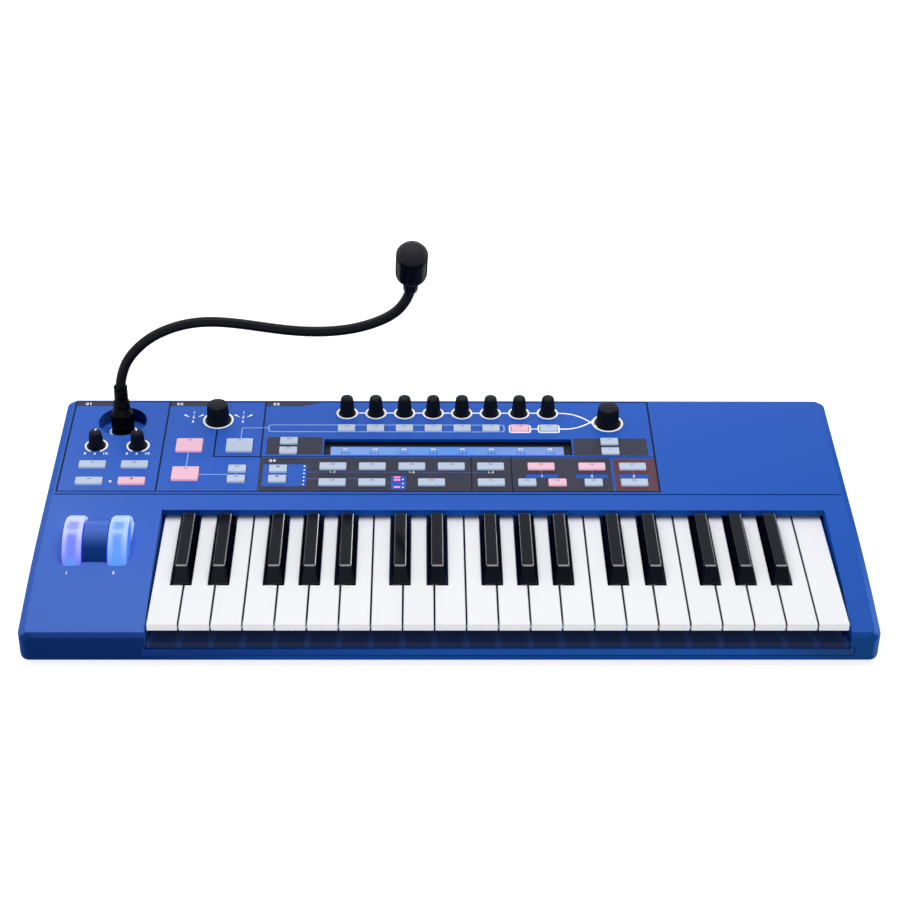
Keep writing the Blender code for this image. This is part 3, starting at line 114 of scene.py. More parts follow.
# Materials
class Paint:
    """The nodes of a material or world, with a short call for each kind that is used here."""

    def __init__(self, owner):
        owner.use_nodes = True
        self.owner = owner
        self.nodes, self.links = owner.node_tree.nodes, owner.node_tree.links

    def put(self, socket, value):
        """Link a socket to another, or give it a number or colour."""
        if isinstance(value, bpy.types.NodeSocket):
            self.links.new(value, socket)
        else:
            socket.default_value = value

    def new(self, kind, inputs=()):
        """A node, and values for its inputs as pairs of name and value."""
        node = self.nodes.new("ShaderNode" + kind)
        for name, value in inputs:
            self.put(node.inputs[name], value)
        return node

    def set(self, name, value):
        """Give the surface an input."""
        self.put(self.nodes["Principled BSDF"].inputs[name], value)

    def now(self, name):
        """What an input of the surface is linked to."""
        return self.nodes["Principled BSDF"].inputs[name].links[0].from_socket

    def math(self, operation, first, second=0.0):
        node = self.new("Math", ((0, first), (1, second)))
        node.operation = operation
        return node.outputs[0]

    def ranged(self, value, low, high, start=0.3, end=0.7):
        """A value remapped from start..end to low..high."""
        window = (("From Min", start), ("From Max", end), ("To Min", low), ("To Max", high))
        return self.new("MapRange", (*window, ("Value", value))).outputs["Result"]

    def mix(self, factor, first, second, way="MIX"):
        node = self.new("Mix")
        node.data_type = "RGBA"
        node.blend_type = way
        for name, value in (("Factor", factor), ("A", first), ("B", second)):
            self.put(node.inputs[name], value)
        return node.outputs["Result"]

    def ramp(self, value, stops):
        """A colour ramp from (position, colour) stops."""
        node = self.new("ValToRGB", (("Fac", value),))
        elements = node.color_ramp.elements
        elements[0].position, elements[0].color = stops[0]
        elements[1].position, elements[1].color = stops[-1]
        for position, colour in stops[1:-1]:
            elements.new(position).color = colour
        return node.outputs["Color"]

    def across(self, value, stops):
        """A colour ramp over the case's width, with its stops in metres."""
        along = self.ranged(value, 0.0, 1.0, -CASE_WIDTH / 2, CASE_WIDTH / 2)
        return self.ramp(along, [(x / CASE_WIDTH + 0.5, colour) for x, colour in stops])

    def place(self):
        return self.new("TexCoord").outputs["Object"]

    def spot(self):
        """Where a point of the surface is: its X, Y and Z."""
        return self.new("SeparateXYZ", (("Vector", self.place()),)).outputs

    def normal(self):
        """Which way the surface faces: X, Y and Z."""
        facing = self.new("NewGeometry").outputs["Normal"]
        return self.new("SeparateXYZ", (("Vector", facing),)).outputs

    def noise(self, scale, detail=3.0):
        inputs = (("Scale", scale), ("Detail", detail), ("Vector", self.place()))
        return self.new("TexNoise", inputs).outputs["Fac"]

    def bump(self, height, depth):
        node = self.new("Bump", (("Strength", 1.0), ("Distance", depth * MM), ("Height", height)))
        self.set("Normal", node.outputs["Normal"])

    def gloss(self, shine):
        """Specular strength that fades where a surface turns away, so its surroundings don't veil it."""
        facing = self.new("LayerWeight", (("Blend", 0.5),)).outputs["Facing"]
        fade = self.ranged(facing, 1.0, 0.0, 0.45, 0.8)
        self.set("Specular IOR Level", self.math("MULTIPLY", fade, shine))

    def tint(self, colour):
        """Multiply the base colour."""
        self.set("Base Color", self.mix(1.0, colour, self.now("Base Color"), "MULTIPLY"))

    def painted_front_glow(self, strength, colour=(0.97, 0.97, 1.0, 1.0)):
        """A painted glow: faces that turn to the front give off a little light, standing in for the light
        that pale plastic catches in a white room.
        """
        self.set("Emission Color", colour)
        self.set("Emission Strength", self.ranged(self.normal()["Y"], strength, 0.0, -0.95, -0.4))

    def seen_directly(self):
        """1 where the camera, a reflection or a refraction looks straight at the surface."""
        path = self.new("LightPath").outputs
        total = path["Is Camera Ray"]
        for name in ("Is Glossy Ray", "Is Transmission Ray"):
            total = self.math("ADD", total, path[name])
            total.node.use_clamp = True
        return total


def plain(name):
    return Paint(bpy.data.materials.new(name))


def moulded(name, colour, rough, vary=0.05, patches=18.0, grain=2200.0, depth=0.02, spread=0.05, shine=0.5):
    """Moulded plastic or rubber: slightly uneven colour and gloss over a fine grained surface."""
    paint = plain(name)
    paint.gloss(shine)
    deep, pale = ([min(c * (1 + sign * vary), 1) for c in colour[:3]] for sign in (-1, 1))
    paint.set("Base Color", paint.mix(paint.noise(patches), (*deep, 1.0), (*pale, 1.0)))
    fine = paint.noise(grain, 2.0)
    paint.set("Roughness", paint.ranged(fine, rough - spread, rough + spread))
    paint.bump(fine, depth)
    return paint


# Moulded plastic that gives off light: the LEDs' own light, and a faint painted glow on the white ink.
def emissive_paint(name, colour, strength):
    paint = moulded(name, colour, 0.3)
    paint.set("Emission Color", colour)
    paint.set("Emission Strength", strength)
    return paint


def case_paint():
    """Satin blue with painted light and shade: a painted falloff of light that is lighter to the left and
    the front left, painted shade on faces that turn to the front, near black painted shade in the
    microphone's recess, and a painted highlight on the right-hand chamfer near the front.
    """
    paint = moulded("case_blue", (1.0, 1.0, 1.0, 1.0), 0.42, 0.03, 9.0, 2600.0, 0.01, 0.05, 1.0)
    x, y, _ = paint.spot()
    facing_x, facing_y, _ = paint.normal()
    # Painted light falloff: the top's blue is lighter to the left and towards the front left, and deeper to
    # the right.
    slanted = paint.math("MULTIPLY", x, paint.math("ADD", paint.math("MULTIPLY", y, -3.5), 1.0))
    stops = ((-0.319, linear(66, 108, 200)), (-0.19, linear(47, 96, 195)), (0.319, linear(19, 84, 184)))
    top = paint.across(slanted, stops)
    # Painted shade: faces that turn to the front take a much deeper blue, deepest at the left end.
    stops = ((-0.235, linear(11, 56, 128)), (-0.12, linear(26, 92, 196)), (0.25, linear(26, 92, 196)))
    dark = paint.across(x, (*stops, (0.29, linear(28, 88, 165))))
    # Painted shade: front-facing faces at the rear left, the walls of the microphone's recess, are near
    # black.
    behind, leftward = paint.ranged(y, 0.0, 1.0, 0.03, 0.05), paint.ranged(x, 0.62, 0.3, -0.24, -0.2)
    recess_shade = paint.math("MULTIPLY", behind, leftward)
    dark = paint.mix(recess_shade, dark, (0.0, 0.003, 0.02, 1.0))
    # How much of the painted front shade a face takes: a little less at the front edge, and a little more
    # behind it on the bridge between the wheels.
    leaning = paint.math("ADD", facing_y, paint.ranged(y, 0.22, -0.07, -0.13, -0.12))
    share = paint.ranged(leaning, 1.0, 0.0, -0.75, -0.25)
    # Painted highlight: a paler blue on the right-hand chamfer, strongest near the front.
    near = paint.ranged(y, 0.85, 0.2, -0.14, -0.02)
    chamfer_highlight = paint.math("MULTIPLY", paint.ranged(facing_x, 0.0, 1.0, 0.3, 0.6), near)
    paint.tint(paint.mix(chamfer_highlight, paint.mix(share, top, dark), linear(88, 140, 235)))
    sideways = paint.ranged(paint.math("ABSOLUTE", facing_x), 1.0, 0.05, 0.2, 0.5)
    shine = paint.math("MULTIPLY", paint.ranged(share, 0.12, 0.03, 0.0, 1.0), sideways)
    paint.set("Specular IOR Level", paint.math("MULTIPLY", paint.now("Specular IOR Level"), shine))
    return paint


def lip_paint():
    """The base's blue, with painted shade that makes it deeper towards both ends of the lip below the keys.
    """
    paint = moulded("lip_blue", (1.0, 1.0, 1.0, 1.0), 0.42, 0.04, 9.0, 2600.0, 0.012, 0.05, 0.08)
    # Painted shade: the lip's blue deepens towards both ends.
    stops = ((-0.19, linear(16, 68, 156)), (0.0, linear(32, 104, 208)), (0.22, linear(36, 110, 210)))
    paint.tint(paint.across(paint.spot()["X"], (*stops, (0.28, linear(37, 86, 160)))))
    return paint


def key_ivory():
    """White key plastic, with painted shade on its flanks in the gaps between the keys and a painted glow on
    faces that turn to the front.
    """
    paint = moulded("key_white", linear(248, 249, 252), 0.22, 0.01, 12.0, 900.0, 0.004, 0.02)
    # Painted light: faces that turn to the front glow a little.
    paint.painted_front_glow(0.27)
    # Painted shade: faces that turn sideways, into the gaps between the keys, are greyer.
    flank_shade = paint.ranged(paint.math("ABSOLUTE", paint.normal()["X"]), 0.0, 1.0, 0.75, 0.95)
    paint.set("Base Color", paint.mix(flank_shade, paint.now("Base Color"), linear(136, 138, 150)))
    return paint


def key_ebony():
    """Black key plastic: glossy along its rounded edges, quieter on its top, dull on its flanks."""
    paint = moulded("key_black", linear(9, 12, 25), 0.1, 0.08, 30.0, 1400.0, 0.003, 0.02, 1.0)
    facing_x, facing_y, facing_z = paint.normal()
    levels = ((0.0, 0.0), (0.34, 0.0), (0.42, 0.9), (0.49, 0.9), (0.52, 0.06), (0.67, 0.06), (0.72, 1.0))
    levels += ((0.95, 1.0), (0.985, 0.11))
    shine = paint.ramp(facing_z, [(z, (v, v, v, 1.0)) for z, v in levels])
    for facing, shut, start in ((facing_x, -0.3, -0.12), (facing_y, 0.3, 0.12)):
        shine = paint.math("MULTIPLY", shine, paint.ranged(facing, 0.1, 1.0, shut, start))
    paint.set("Specular IOR Level", shine)
    return paint


def glowing(name, u, pale, dimple_shade, full, low, rim_highlight, deep):
    """Clear plastic lit from inside, with painted light and shade: pale rims as a painted highlight,
    coloured along its tread, deep on its sides as painted shade.

    The tread is pale at its top and at the thumb ridge as painted highlights, softer in the dimple as
    painted shade, and fullest in colour below it.
    """
    paint = plain(name)
    paint.set("Roughness", 0.3)
    paint.set("Specular IOR Level", 0.1)
    x, y, z = paint.spot()
    aside = paint.math("ABSOLUTE", paint.math("SUBTRACT", x, KEYS_LEFT + u))
    # Painted highlight: the rims are paler than the middle of the tread.
    rim = paint.ranged(aside, 0.0, 1.0, WHEEL_W * 0.16, WHEEL_W * 0.34)
    angle = paint.math("ARCTAN2", paint.math("SUBTRACT", z, WHEEL_Z), paint.math("SUBTRACT", y, WHEEL_Y))
    angle = paint.ranged(angle, 0.0, 1.0, math.radians(50), math.radians(170))
    along = (
        (62, pale), (87, pale), (90, dimple_shade), (102, dimple_shade), (108, pale), (115, full), (141, full), (157, low),
    )
    edges = ((86, rim_highlight), (110, rim_highlight), (157, full))
    sides = ((60, rim_highlight), (82, deep), (157, deep))
    tread, edge, side = (
        paint.ramp(angle, [((degrees - 50) / 120, colour) for degrees, colour in stops])
        for stops in (along, edges, sides)
    )
    rim = paint.math("ADD", rim, paint.ranged(paint.noise(260.0), -0.12, 0.12))
    rim = paint.math("MAXIMUM", rim, 0.0)
    # Painted shade: the wheel's flat sides take the deep colour.
    flat = paint.ranged(paint.math("ABSOLUTE", paint.normal()["X"]), 0.0, 1.0, 0.85, 0.97)
    colour = paint.mix(flat, paint.mix(rim, tread, edge), side)
    paint.set("Emission Color", colour)
    paint.set("Emission Strength", 0.78)
    paint.set("Base Color", paint.mix(1.0, colour, (0.3, 0.3, 0.3, 1.0), "MULTIPLY"))
    return paint


def bed_paint():
    """Blue plastic under the keys, darkened to navy as painted shade, with painted streaks of the light that
    falls through the gaps between them and a faint painted glow.
    """
    paint = moulded("keybed_painted_shade", linear(26, 40, 70), 0.4, 0.1, 60.0, 1800.0, 0.02, 0.05, 0.05)
    place = paint.math("DIVIDE", paint.math("SUBTRACT", paint.spot()["X"], KEYS_LEFT), KEY_PITCH)
    # Painted light: lighter streaks below the gaps between the keys.
    gap_light_streak = paint.ranged(paint.math("PINGPONG", place, 0.5), 0.9, 0.0, 0.02, 0.16)
    paint.set("Base Color", paint.mix(gap_light_streak, paint.now("Base Color"), linear(34, 62, 116)))
    # Painted light: a faint glow that lifts the shade under the keys.
    paint.set("Emission Color", linear(90, 116, 200))
    paint.set("Emission Strength", 0.045)
    return paint


def lit_silicone():
    """A pink button: the same silicone with a red light behind it, which tints it pink and makes it glow,
    and a painted glow on its front faces.
    """
    paint = moulded("button_lit", linear(238, 188, 208), 0.42, 0.03, 60.0, 2200.0, 0.02)
    # Painted light: the front faces glow a little more, on top of the light behind the button.
    paint.painted_front_glow(0.36, linear(240, 172, 196))
    paint.set("Emission Strength", paint.math("ADD", paint.now("Emission Strength"), 0.06))
    return paint


def screen_paint():
    """The lit display: bright at its ends, deeper in the middle, with faint character cells."""
    paint = plain("display_lit")
    paint.set("Base Color", linear(20, 50, 150))
    paint.set("Roughness", 0.12)
    along = paint.ranged(paint.spot()["X"], 0.0, 1.0, -96 * MM, 97 * MM)
    stops = ((0.0, linear(150, 194, 246)), (0.5, linear(92, 166, 234)), (1.0, linear(150, 182, 228)))
    cells = paint.new("TexBrick", (
        ("Scale", 1.0), ("Brick Width", 1.32 * MM), ("Row Height", 6.4 * MM), ("Mortar Size", 0.16 * MM),
        ("Mortar Smooth", 0.6), ("Color1", (0.86, 0.86, 0.86, 1)), ("Color2", (0.95, 0.95, 0.95, 1)),
        ("Mortar", (1, 1, 1, 1)), ("Vector", paint.place()),
    ))
    cells.offset = 0.0
    glow = paint.mix(1.0, paint.ramp(along, stops), cells.outputs["Color"], "MULTIPLY")
    paint.set("Emission Color", glow)
    paint.set("Emission Strength", 0.65)
    return paint


def grille_paint():
    """Woven black wire over the microphone's capsule."""
    paint = plain("mic_grille")
    paint.gloss(0.12)
    paint.set("Roughness", 0.45)
    inputs = (("Scale", 900.0), ("Randomness", 0.25), ("Vector", paint.place()))
    wires = paint.new("TexVoronoi", inputs).outputs["Distance"]
    gaps = paint.ranged(wires, 0, 1, 0.15, 0.6)
    paint.set("Base Color", paint.mix(gaps, linear(4, 4, 8), linear(34, 33, 44)))
    paint.bump(wires, 0.35)
    return paint


BLUE = case_paint()
LIP_BLUE = lip_paint()
NAVY = moulded("print_navy", linear(8, 16, 50), 0.45, shine=0.06)
CHARCOAL = moulded("print_charcoal", linear(46, 48, 66), 0.45, shine=0.16)
BROWN = moulded("print_brown", linear(88, 50, 66), 0.45, shine=0.18)
PRINT_BLUE = moulded("print_blue", linear(60, 98, 198), 0.42)
# White ink for the print and the display's bright digits, with a faint painted glow on the print.
WHITE_INK = emissive_paint("print_white", linear(250, 252, 255), 0.12)
PALE_INK = moulded("print_pale_blue", linear(160, 188, 242), 0.4)
GREY_INK = moulded("print_grey", linear(112, 118, 134), 0.5)
IVORY = key_ivory()
EBONY = key_ebony()
RUBBER = moulded("knob_rubber", linear(15, 22, 30), 0.42, 0.12, 60.0, 1800.0, 0.05, 0.08, 0.09)
SILICONE = moulded("button_silicone", linear(188, 203, 226), 0.42, 0.03, 60.0, 2200.0, 0.02)
# Painted light: the caps' faces that turn to the front glow a little.
SILICONE.painted_front_glow(0.3, linear(188, 203, 226))
CHASSIS = moulded("chassis_black", linear(14, 14, 18), 0.5, shine=0.2)
DARK_PLASTIC = moulded("dark_plastic", linear(18, 18, 22), 0.4, 0.1, 60.0, shine=0.2)
MIC_BODY = moulded("mic_black", linear(6, 6, 9), 0.16, 0.1, 60.0, 1600.0, 0.006, 0.03, 0.05)
NECK = moulded("neck_rubber", linear(6, 6, 15), 0.2, 0.1, 80.0, 1500.0, 0.01, 0.05, 0.12)
FOOT_RUBBER = moulded("foot_rubber", linear(34, 34, 36), 0.7, 0.12, 70.0, 1500.0, 0.06, 0.05, 0.2)
LIT = lit_silicone()
NICKEL = moulded("nickel", (0.62, 0.62, 0.64, 1), 0.28, 0.05, 90.0, 1500.0, 0.01)
NICKEL.set("Metallic", 1.0)
SCREEN = screen_paint()
GRILLE = grille_paint()
LED_WHITE = emissive_paint("led_white", linear(230, 240, 255), 0.9)
LED_PINK = emissive_paint("led_pink", linear(255, 120, 170), 0.7)
# Wheel colours, in order: pale top and ridge as painted highlight, softer dimple as painted shade, full
# tread, lower tread, rims as painted highlight, and sides as painted shade.
PITCH_GLOW = glowing(
    "wheel_violet", PITCH_U, linear(190, 198, 250), linear(146, 158, 244), linear(119, 135, 250),
    linear(104, 158, 252), linear(200, 206, 250), linear(44, 50, 216),
)
MOD_GLOW = glowing(
    "wheel_blue", MOD_U, linear(174, 206, 251), linear(118, 169, 242), linear(104, 158, 254),
    linear(94, 160, 253), linear(178, 206, 250), linear(72, 128, 246),
)
BED = bed_paint()


# Mesh helpers
def skin(bm, rings, closed=False):
    """Faces between rings of vertices; the ends are filled, or the last ring joins the first."""
    for ring, following in zip(rings, rings[1:] + rings[:1] if closed else rings[1:]):
        for k in range(len(ring)):
            after = (k + 1) % len(ring)
            bm.faces.new((ring[k], ring[after], following[after], following[k]))
    if not closed:
        bm.faces.new(list(reversed(rings[0])))
        bm.faces.new(rings[-1])


def to_mesh(bm, matrix=None):
    if matrix:
        bmesh.ops.transform(bm, matrix=matrix, verts=bm.verts)
    bmesh.ops.recalc_face_normals(bm, faces=bm.faces)
    mesh = bpy.data.meshes.new("piece")
    bm.to_mesh(mesh)
    bm.free()
    return mesh


def lofted(sections, matrix=None, closed=False):
    """A mesh through sections, each a ring of points."""
    bm = bmesh.new()
    skin(bm, [[bm.verts.new(point) for point in section] for section in sections], closed)
    bmesh.ops.dissolve_degenerate(bm, dist=1e-7, edges=bm.edges)
    return to_mesh(bm, matrix)


def new_object(name, data):
    obj = bpy.data.objects.new(name, data)
    bpy.context.scene.collection.objects.link(obj)
    return obj


def paint_node(name, paint):
    """Give a CAD node that stays its material."""
    NODES[name].data.materials.clear()
    NODES[name].data.materials.append(paint.owner)


def piece(name, mesh, paint, body, *replaced, sharp=None, even=False):
    """A finished piece: it rides on its body and stands for the CAD nodes that it replaces.

    Edges sharper than so many degrees stay sharp, and even shading follows the larger faces.
    """
    obj = new_object(name, mesh)
    if sharp:
        mesh.shade_smooth()
        mesh.set_sharp_from_angle(angle=math.radians(sharp))
    if even:
        modifier = obj.modifiers.new("even shading", "WEIGHTED_NORMAL")
        modifier.keep_sharp = True
        modifier.weight = 80
        modifier.thresh = 1e-8
    mesh.materials.clear()
    mesh.materials.append(paint.owner)
    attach(obj, body)
    if replaced:
        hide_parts(*replaced)


def blocks(corners, matrix=None):
    """Separate boxes, each from its lowest and highest corner."""
    bm = bmesh.new()
    for low, high in corners:
        low, high = Vector(low), Vector(high)
        made = bmesh.ops.create_cube(bm, size=1.0)["verts"]
        size = Matrix.Diagonal((*(high - low), 1.0))
        bmesh.ops.transform(bm, matrix=Matrix.Translation((low + high) / 2) @ size, verts=made)
    return to_mesh(bm, matrix)


def rods(items, matrix=None, sides=32):
    """Separate cylinders, each from its centre, radius, length and axis letter."""
    turns = {"x": (math.pi / 2, 4, "Y"), "y": (math.pi / 2, 4, "X"), "z": (0.0, 4, "Z")}
    bm = bmesh.new()
    for centre, radius, length, axis in items:
        size = {"radius1": radius, "radius2": radius, "depth": length}
        made = bmesh.ops.create_cone(bm, cap_ends=True, segments=sides, **size)["verts"]
        place = Matrix.Translation(centre) @ Matrix.Rotation(*turns[axis])
        bmesh.ops.transform(bm, matrix=place, verts=made)
    return to_mesh(bm, matrix)


def cut(mesh, steps):
    """A mesh after (operation, mesh) steps, in order."""
    whole = new_object("whole", mesh)
    helpers = [whole]
    for operation, other in steps:
        helpers.append(new_object("helper", other))
        modifier = whole.modifiers.new("boolean", "BOOLEAN")
        modifier.operation = operation
        modifier.solver = "EXACT"
        modifier.object = helpers[-1]
    bpy.context.view_layer.update()
    shaped = whole.evaluated_get(bpy.context.evaluated_depsgraph_get())
    result = bpy.data.meshes.new_from_object(shaped)
    for helper in helpers:
        bpy.data.objects.remove(helper, do_unlink=True)
    bm = bmesh.new()
    bm.from_mesh(result)
    bmesh.ops.remove_doubles(bm, verts=bm.verts, dist=SLIVER)
    bmesh.ops.dissolve_degenerate(bm, edges=bm.edges, dist=SLIVER)
    bm.to_mesh(result)
    bm.free()
    return result


def less(mesh, *cutters):
    return cut(mesh, [("DIFFERENCE", cutter) for cutter in cutters])


def rectangle(u, v, wide, deep, inset=0.0):
    """Corners of a rectangle about its middle."""
    x, y = wide / 2 - inset, deep / 2 - inset
    return [(u - x, v - y), (u + x, v - y), (u + x, v + y), (u - x, v + y)]


def rounded(points, radii, steps):
    """A closed 2D outline with each corner turned into an arc of steps + 1 points."""
    outline = []
    for k, (point, radius) in enumerate(zip(points, radii)):
        here = Vector(point)
        before = Vector(points[k - 1]) - here
        after = Vector(points[(k + 1) % len(points)]) - here
        reach = radius / math.tan(before.angle(after) / 2)
        reach = min(reach, before.length * 0.45, after.length * 0.45)
        start, end = here + before.normalized() * reach, here + after.normalized() * reach
        for step in range(steps + 1):
            t = step / steps
            outline.append(tuple(start * (1 - t) ** 2 + here * 2 * t * (1 - t) + end * t * t))
    return outline


def curved(points, steps):
    """A smooth path through points."""
    points = [Vector(point) for point in points]
    padded = [2 * points[0] - points[1]] + points + [2 * points[-1] - points[-2]]
    path = [points[0]]
    for a, b, c, d in zip(padded, padded[1:], padded[2:], padded[3:]):
        for k in range(1, steps + 1):
            t = k / steps
            bend, twist = 2 * a - 5 * b + 4 * c - d, 3 * b - a - 3 * c + d
            path.append(0.5 * (2 * b + (c - a) * t + bend * t * t + twist * t**3))
    return path


def turned(profile, steps, matrix=None, ribs=None):
    """A turned form from (radius, height) pairs in millimetres, top to bottom.

    ribs holds their count, their depth and the heights that they run between.
    """
    bm = bmesh.new()
    rings = []
    for radius, height in profile:
        if not radius:
            rings.append([bm.verts.new((0, 0, height * MM))])
            continue
        ring = []
        for k in range(steps):
            angle = 2 * math.pi * k / steps
            r = radius
            if ribs and ribs[2] <= height <= ribs[3]:
                r -= ribs[1] * (0.5 - 0.5 * math.cos(angle * ribs[0]))
            ring.append(bm.verts.new((r * MM * math.cos(angle), r * MM * math.sin(angle), height * MM)))
        rings.append(ring)
    for ring, following in zip(rings, rings[1:]):
        for k in range(steps):
            after = (k + 1) % steps
            if len(ring) == 1:
                bm.faces.new((ring[0], following[k], following[after]))
            elif len(following) == 1:
                bm.faces.new((ring[k], following[0], ring[after]))
            else:
                bm.faces.new((ring[k], following[k], following[after], ring[after]))
    if len(rings[-1]) > 1:
        bm.faces.new(rings[-1])
    return to_mesh(bm, matrix)


def dense(profile, spacing):
    """A profile with extra points wherever two neighbours are far apart in height."""
    out = [profile[0]]
    for (r0, h0), (r1, h1) in zip(profile, profile[1:]):
        count = max(1, round(abs(h1 - h0) / spacing))
        out += [(r0 + (r1 - r0) * k / count, h0 + (h1 - h0) * k / count) for k in range(1, count + 1)]
    return out


def circle(radius, height, steps):
    angles = [2 * math.pi * k / steps for k in range(steps)]
    return [(radius * MM * math.cos(a), radius * MM * math.sin(a), height * MM) for a in angles]


def hoop(outer, inner, low, high, steps, matrix):
    """A flat ring round the matrix's Z axis."""
    corners = ((outer, low), (outer, high), (inner, high), (inner, low))
    return lofted([circle(radius, height, steps) for radius, height in corners], matrix, True)


# Camera, floor and light
def make_camera():
    """The photograph's view: an 85 mm lens, 33 degrees down."""
    pitch, yaw, roll = 0.5700327, 0.0163160, -0.0100473
    forward = Vector((math.sin(yaw) * math.cos(pitch), math.cos(yaw) * math.cos(pitch), -math.sin(pitch)))
    level = Vector((math.cos(yaw), -math.sin(yaw), 0))
    down = forward.cross(level)
    right = level * math.cos(roll) + down * math.sin(roll)
    down = down * math.cos(roll) - level * math.sin(roll)
    data = bpy.data.cameras.new("camera")
    data.lens = 85.0
    data.sensor_width = 36.0
    data.clip_start = 0.05
    data.clip_end = 30.0
    camera = new_object("camera", data)
    place = Matrix((right, -down, -forward)).transposed().to_4x4()
    place.translation = (-22.032 * MM, -1388.745 * MM, 986.981 * MM)
    camera.matrix_world = place
    bpy.context.scene.camera = camera


def make_floor():
    """A pale floor that keeps the object's shadow and turns white further out."""
    bm = bmesh.new()
    bmesh.ops.create_grid(bm, x_segments=1, y_segments=1, size=8.0)
    floor = new_object("floor", to_mesh(bm))
    paint = plain("floor_white")
    paint.set("Base Color", (0.6, 0.6, 0.61, 1))
    paint.set("Roughness", 0.9)
    paint.set("Specular IOR Level", 0.0)
    reach = paint.new("VectorMath", ((0, paint.place()),))
    reach.operation = "LENGTH"
    glow = paint.ranged(reach.outputs["Value"], 0.8, 1.0, 0.7, 1.6)
    shine = paint.new("Emission", (("Color", (1, 1, 1, 1)), ("Strength", glow)))
    lit = paint.nodes["Principled BSDF"].outputs[0]
    both = paint.new("AddShader", ((0, lit), (1, shine.outputs[0])))
    mix = paint.new("MixShader", (("Fac", paint.seen_directly()), (1, lit), (2, both.outputs[0])))
    paint.put(paint.nodes["Material Output"].inputs["Surface"], mix.outputs[0])
    floor.data.materials.append(paint.owner)


def make_world():
    """Soft light from all round, and white where it is seen directly."""
    world = Paint(bpy.data.worlds.new("studio"))
    back = world.nodes["Background"]
    world.put(back.inputs["Color"], (0.93, 0.96, 1.0, 1))
    world.put(back.inputs["Strength"], 0.30)
    white = world.new("Background", (("Color", (1, 1, 1, 1)), ("Strength", 1.0)))
    inputs = (("Fac", world.seen_directly()), (1, back.outputs[0]), (2, white.outputs[0]))
    world.put(world.nodes["World Output"].inputs["Surface"], world.new("MixShader", inputs).outputs[0])
    bpy.context.scene.world = world.owner


def area_light(name, place, target, size, power):
    data = bpy.data.lights.new(name, "AREA")
    data.shape = "RECTANGLE"
    data.size, data.size_y = size
    data.energy = power
    light = new_object(name, data)
    light.location = place
    light.rotation_euler = (Vector(target) - Vector(place)).to_track_quat("-Z", "Y").to_euler()


# The case
def surface_height(y):
    """The height of the case's top: the tilted panel, a bend in front of it, and the sloping cheeks."""
    bend, run = 100 * MM, -12 * MM - (y - WELL_REAR)
    if run <= 0:
        return PANEL_HEIGHT + (y - WELL_REAR) * math.tan(TILT)
    along = min(run, bend)
    slope = TILT + (SLOPE - TILT) * along / bend
    start = PANEL_HEIGHT - 12 * MM * math.tan(TILT)
    return start - along * math.tan((TILT + slope) / 2) - max(run - bend, 0) * math.tan(SLOPE)


def case_ring(y, top, half, low, drop=4.0, steps=4):
    """A section of the case; its chamfers drop so many millimetres at the sides."""
    right = [(half - 0.2 * MM, low), (half, top - drop * MM), (half - 5.5 * MM, top)]
    radii = [4.5 * MM, 1.6 * MM, 3.0 * MM]
    points = right + [(-x, z) for x, z in reversed(right)]
    return [(x, y, z) for x, z in rounded(points, radii + radii[::-1], steps)]


def chamfer_drop(y):
    """The chamfer along the sides is deeper at the front than at the back."""
    return 4.3 - 1.6 * (y - FRONT) / CASE_DEPTH


def rise_of(radius, along):
    """How far a quarter round of this radius still is from its straight, this far along."""
    return radius - math.sqrt(radius**2 - max(radius - along, 0) ** 2)


# How far the top has dropped at each distance behind the front face, in millimetres
FRONT_EDGE = {
    0: 4.0, 0.12: 3.7, 0.4: 3.15, 0.8: 2.5, 1.3: 1.795455, 1.9: 0.95, 2.3: 0.42, 2.8: 0.1, 3.5: 0.0,
    4.5: 0.0, 5.7: 0.0, 7.0: 0.0, 8.0: 0.0,
}


def case_sections():
    half = CASE_WIDTH / 2
    sections = []
    for along, drop in FRONT_EDGE.items():
        y = FRONT + along * MM
        low = FOOT + rise_of(4.5 * MM, along * MM)
        inset = rise_of(8 * MM, along * MM)
        sections.append(case_ring(y, surface_height(y) - drop * MM, half - inset, low, chamfer_drop(y)))
    y = FRONT + 12 * MM
    corner, edge = 6.5 * MM, 3 * MM
    while y < REAR - corner:
        sections.append(case_ring(y, surface_height(y), half, FOOT, chamfer_drop(y)))
        y += 6 * MM
    for step in range(10):
        angle = math.radians(10 * step)
        y = REAR - corner + corner * math.sin(angle)
        inset = corner * (1 - math.cos(angle))
        down = edge - math.sqrt(max(edge**2 - max(y - (REAR - edge), 0) ** 2, 0))
        low = FOOT + down * 0.6
        sections.append(case_ring(y, surface_height(y) - down, half - inset, low, chamfer_drop(y)))
    return sections


def cavity():
    half = CASE_WIDTH / 2 - WALL
    stations = [(FRONT + (3 + k) * MM, rise_of(5 * MM, k * MM)) for k in (0, 1.5, 5)]
    stations += [(FRONT + k * 20 * MM, 0.0) for k in range(1, 14)]
    stations += [(REAR - 12 * MM, 0.0), (REAR - WALL, 4.5 * MM)]
    sections = [
        case_ring(y, surface_height(y) - WALL, half - inset, FOOT + 4 * MM, steps=2)
        for y, inset in stations
    ]
    block = blocks([((WELL_LEFT - WALL, -FAR, -FAR), (WELL_RIGHT + WALL, WELL_REAR + WALL, FAR))])
    return less(lofted(sections), block)


def barrel(u, radius, width, edge):
    """A wheel lying along X with rounded rims."""
    half = width / 2
    turns = [math.radians(15 * k) for k in range(7)]
    side = [(radius - edge + edge * math.sin(a), half - edge + edge * math.cos(a)) for a in turns]
    profile = [(0, half)] + side + [(r, -h) for r, h in reversed(side)] + [(0, -half)]
    place = Matrix.Translation((KEYS_LEFT + u, WHEEL_Y, WHEEL_Z)) @ Matrix.Rotation(math.pi / 2, 4, "Y")
    return turned([(r / MM, h / MM) for r, h in profile], 96, place)


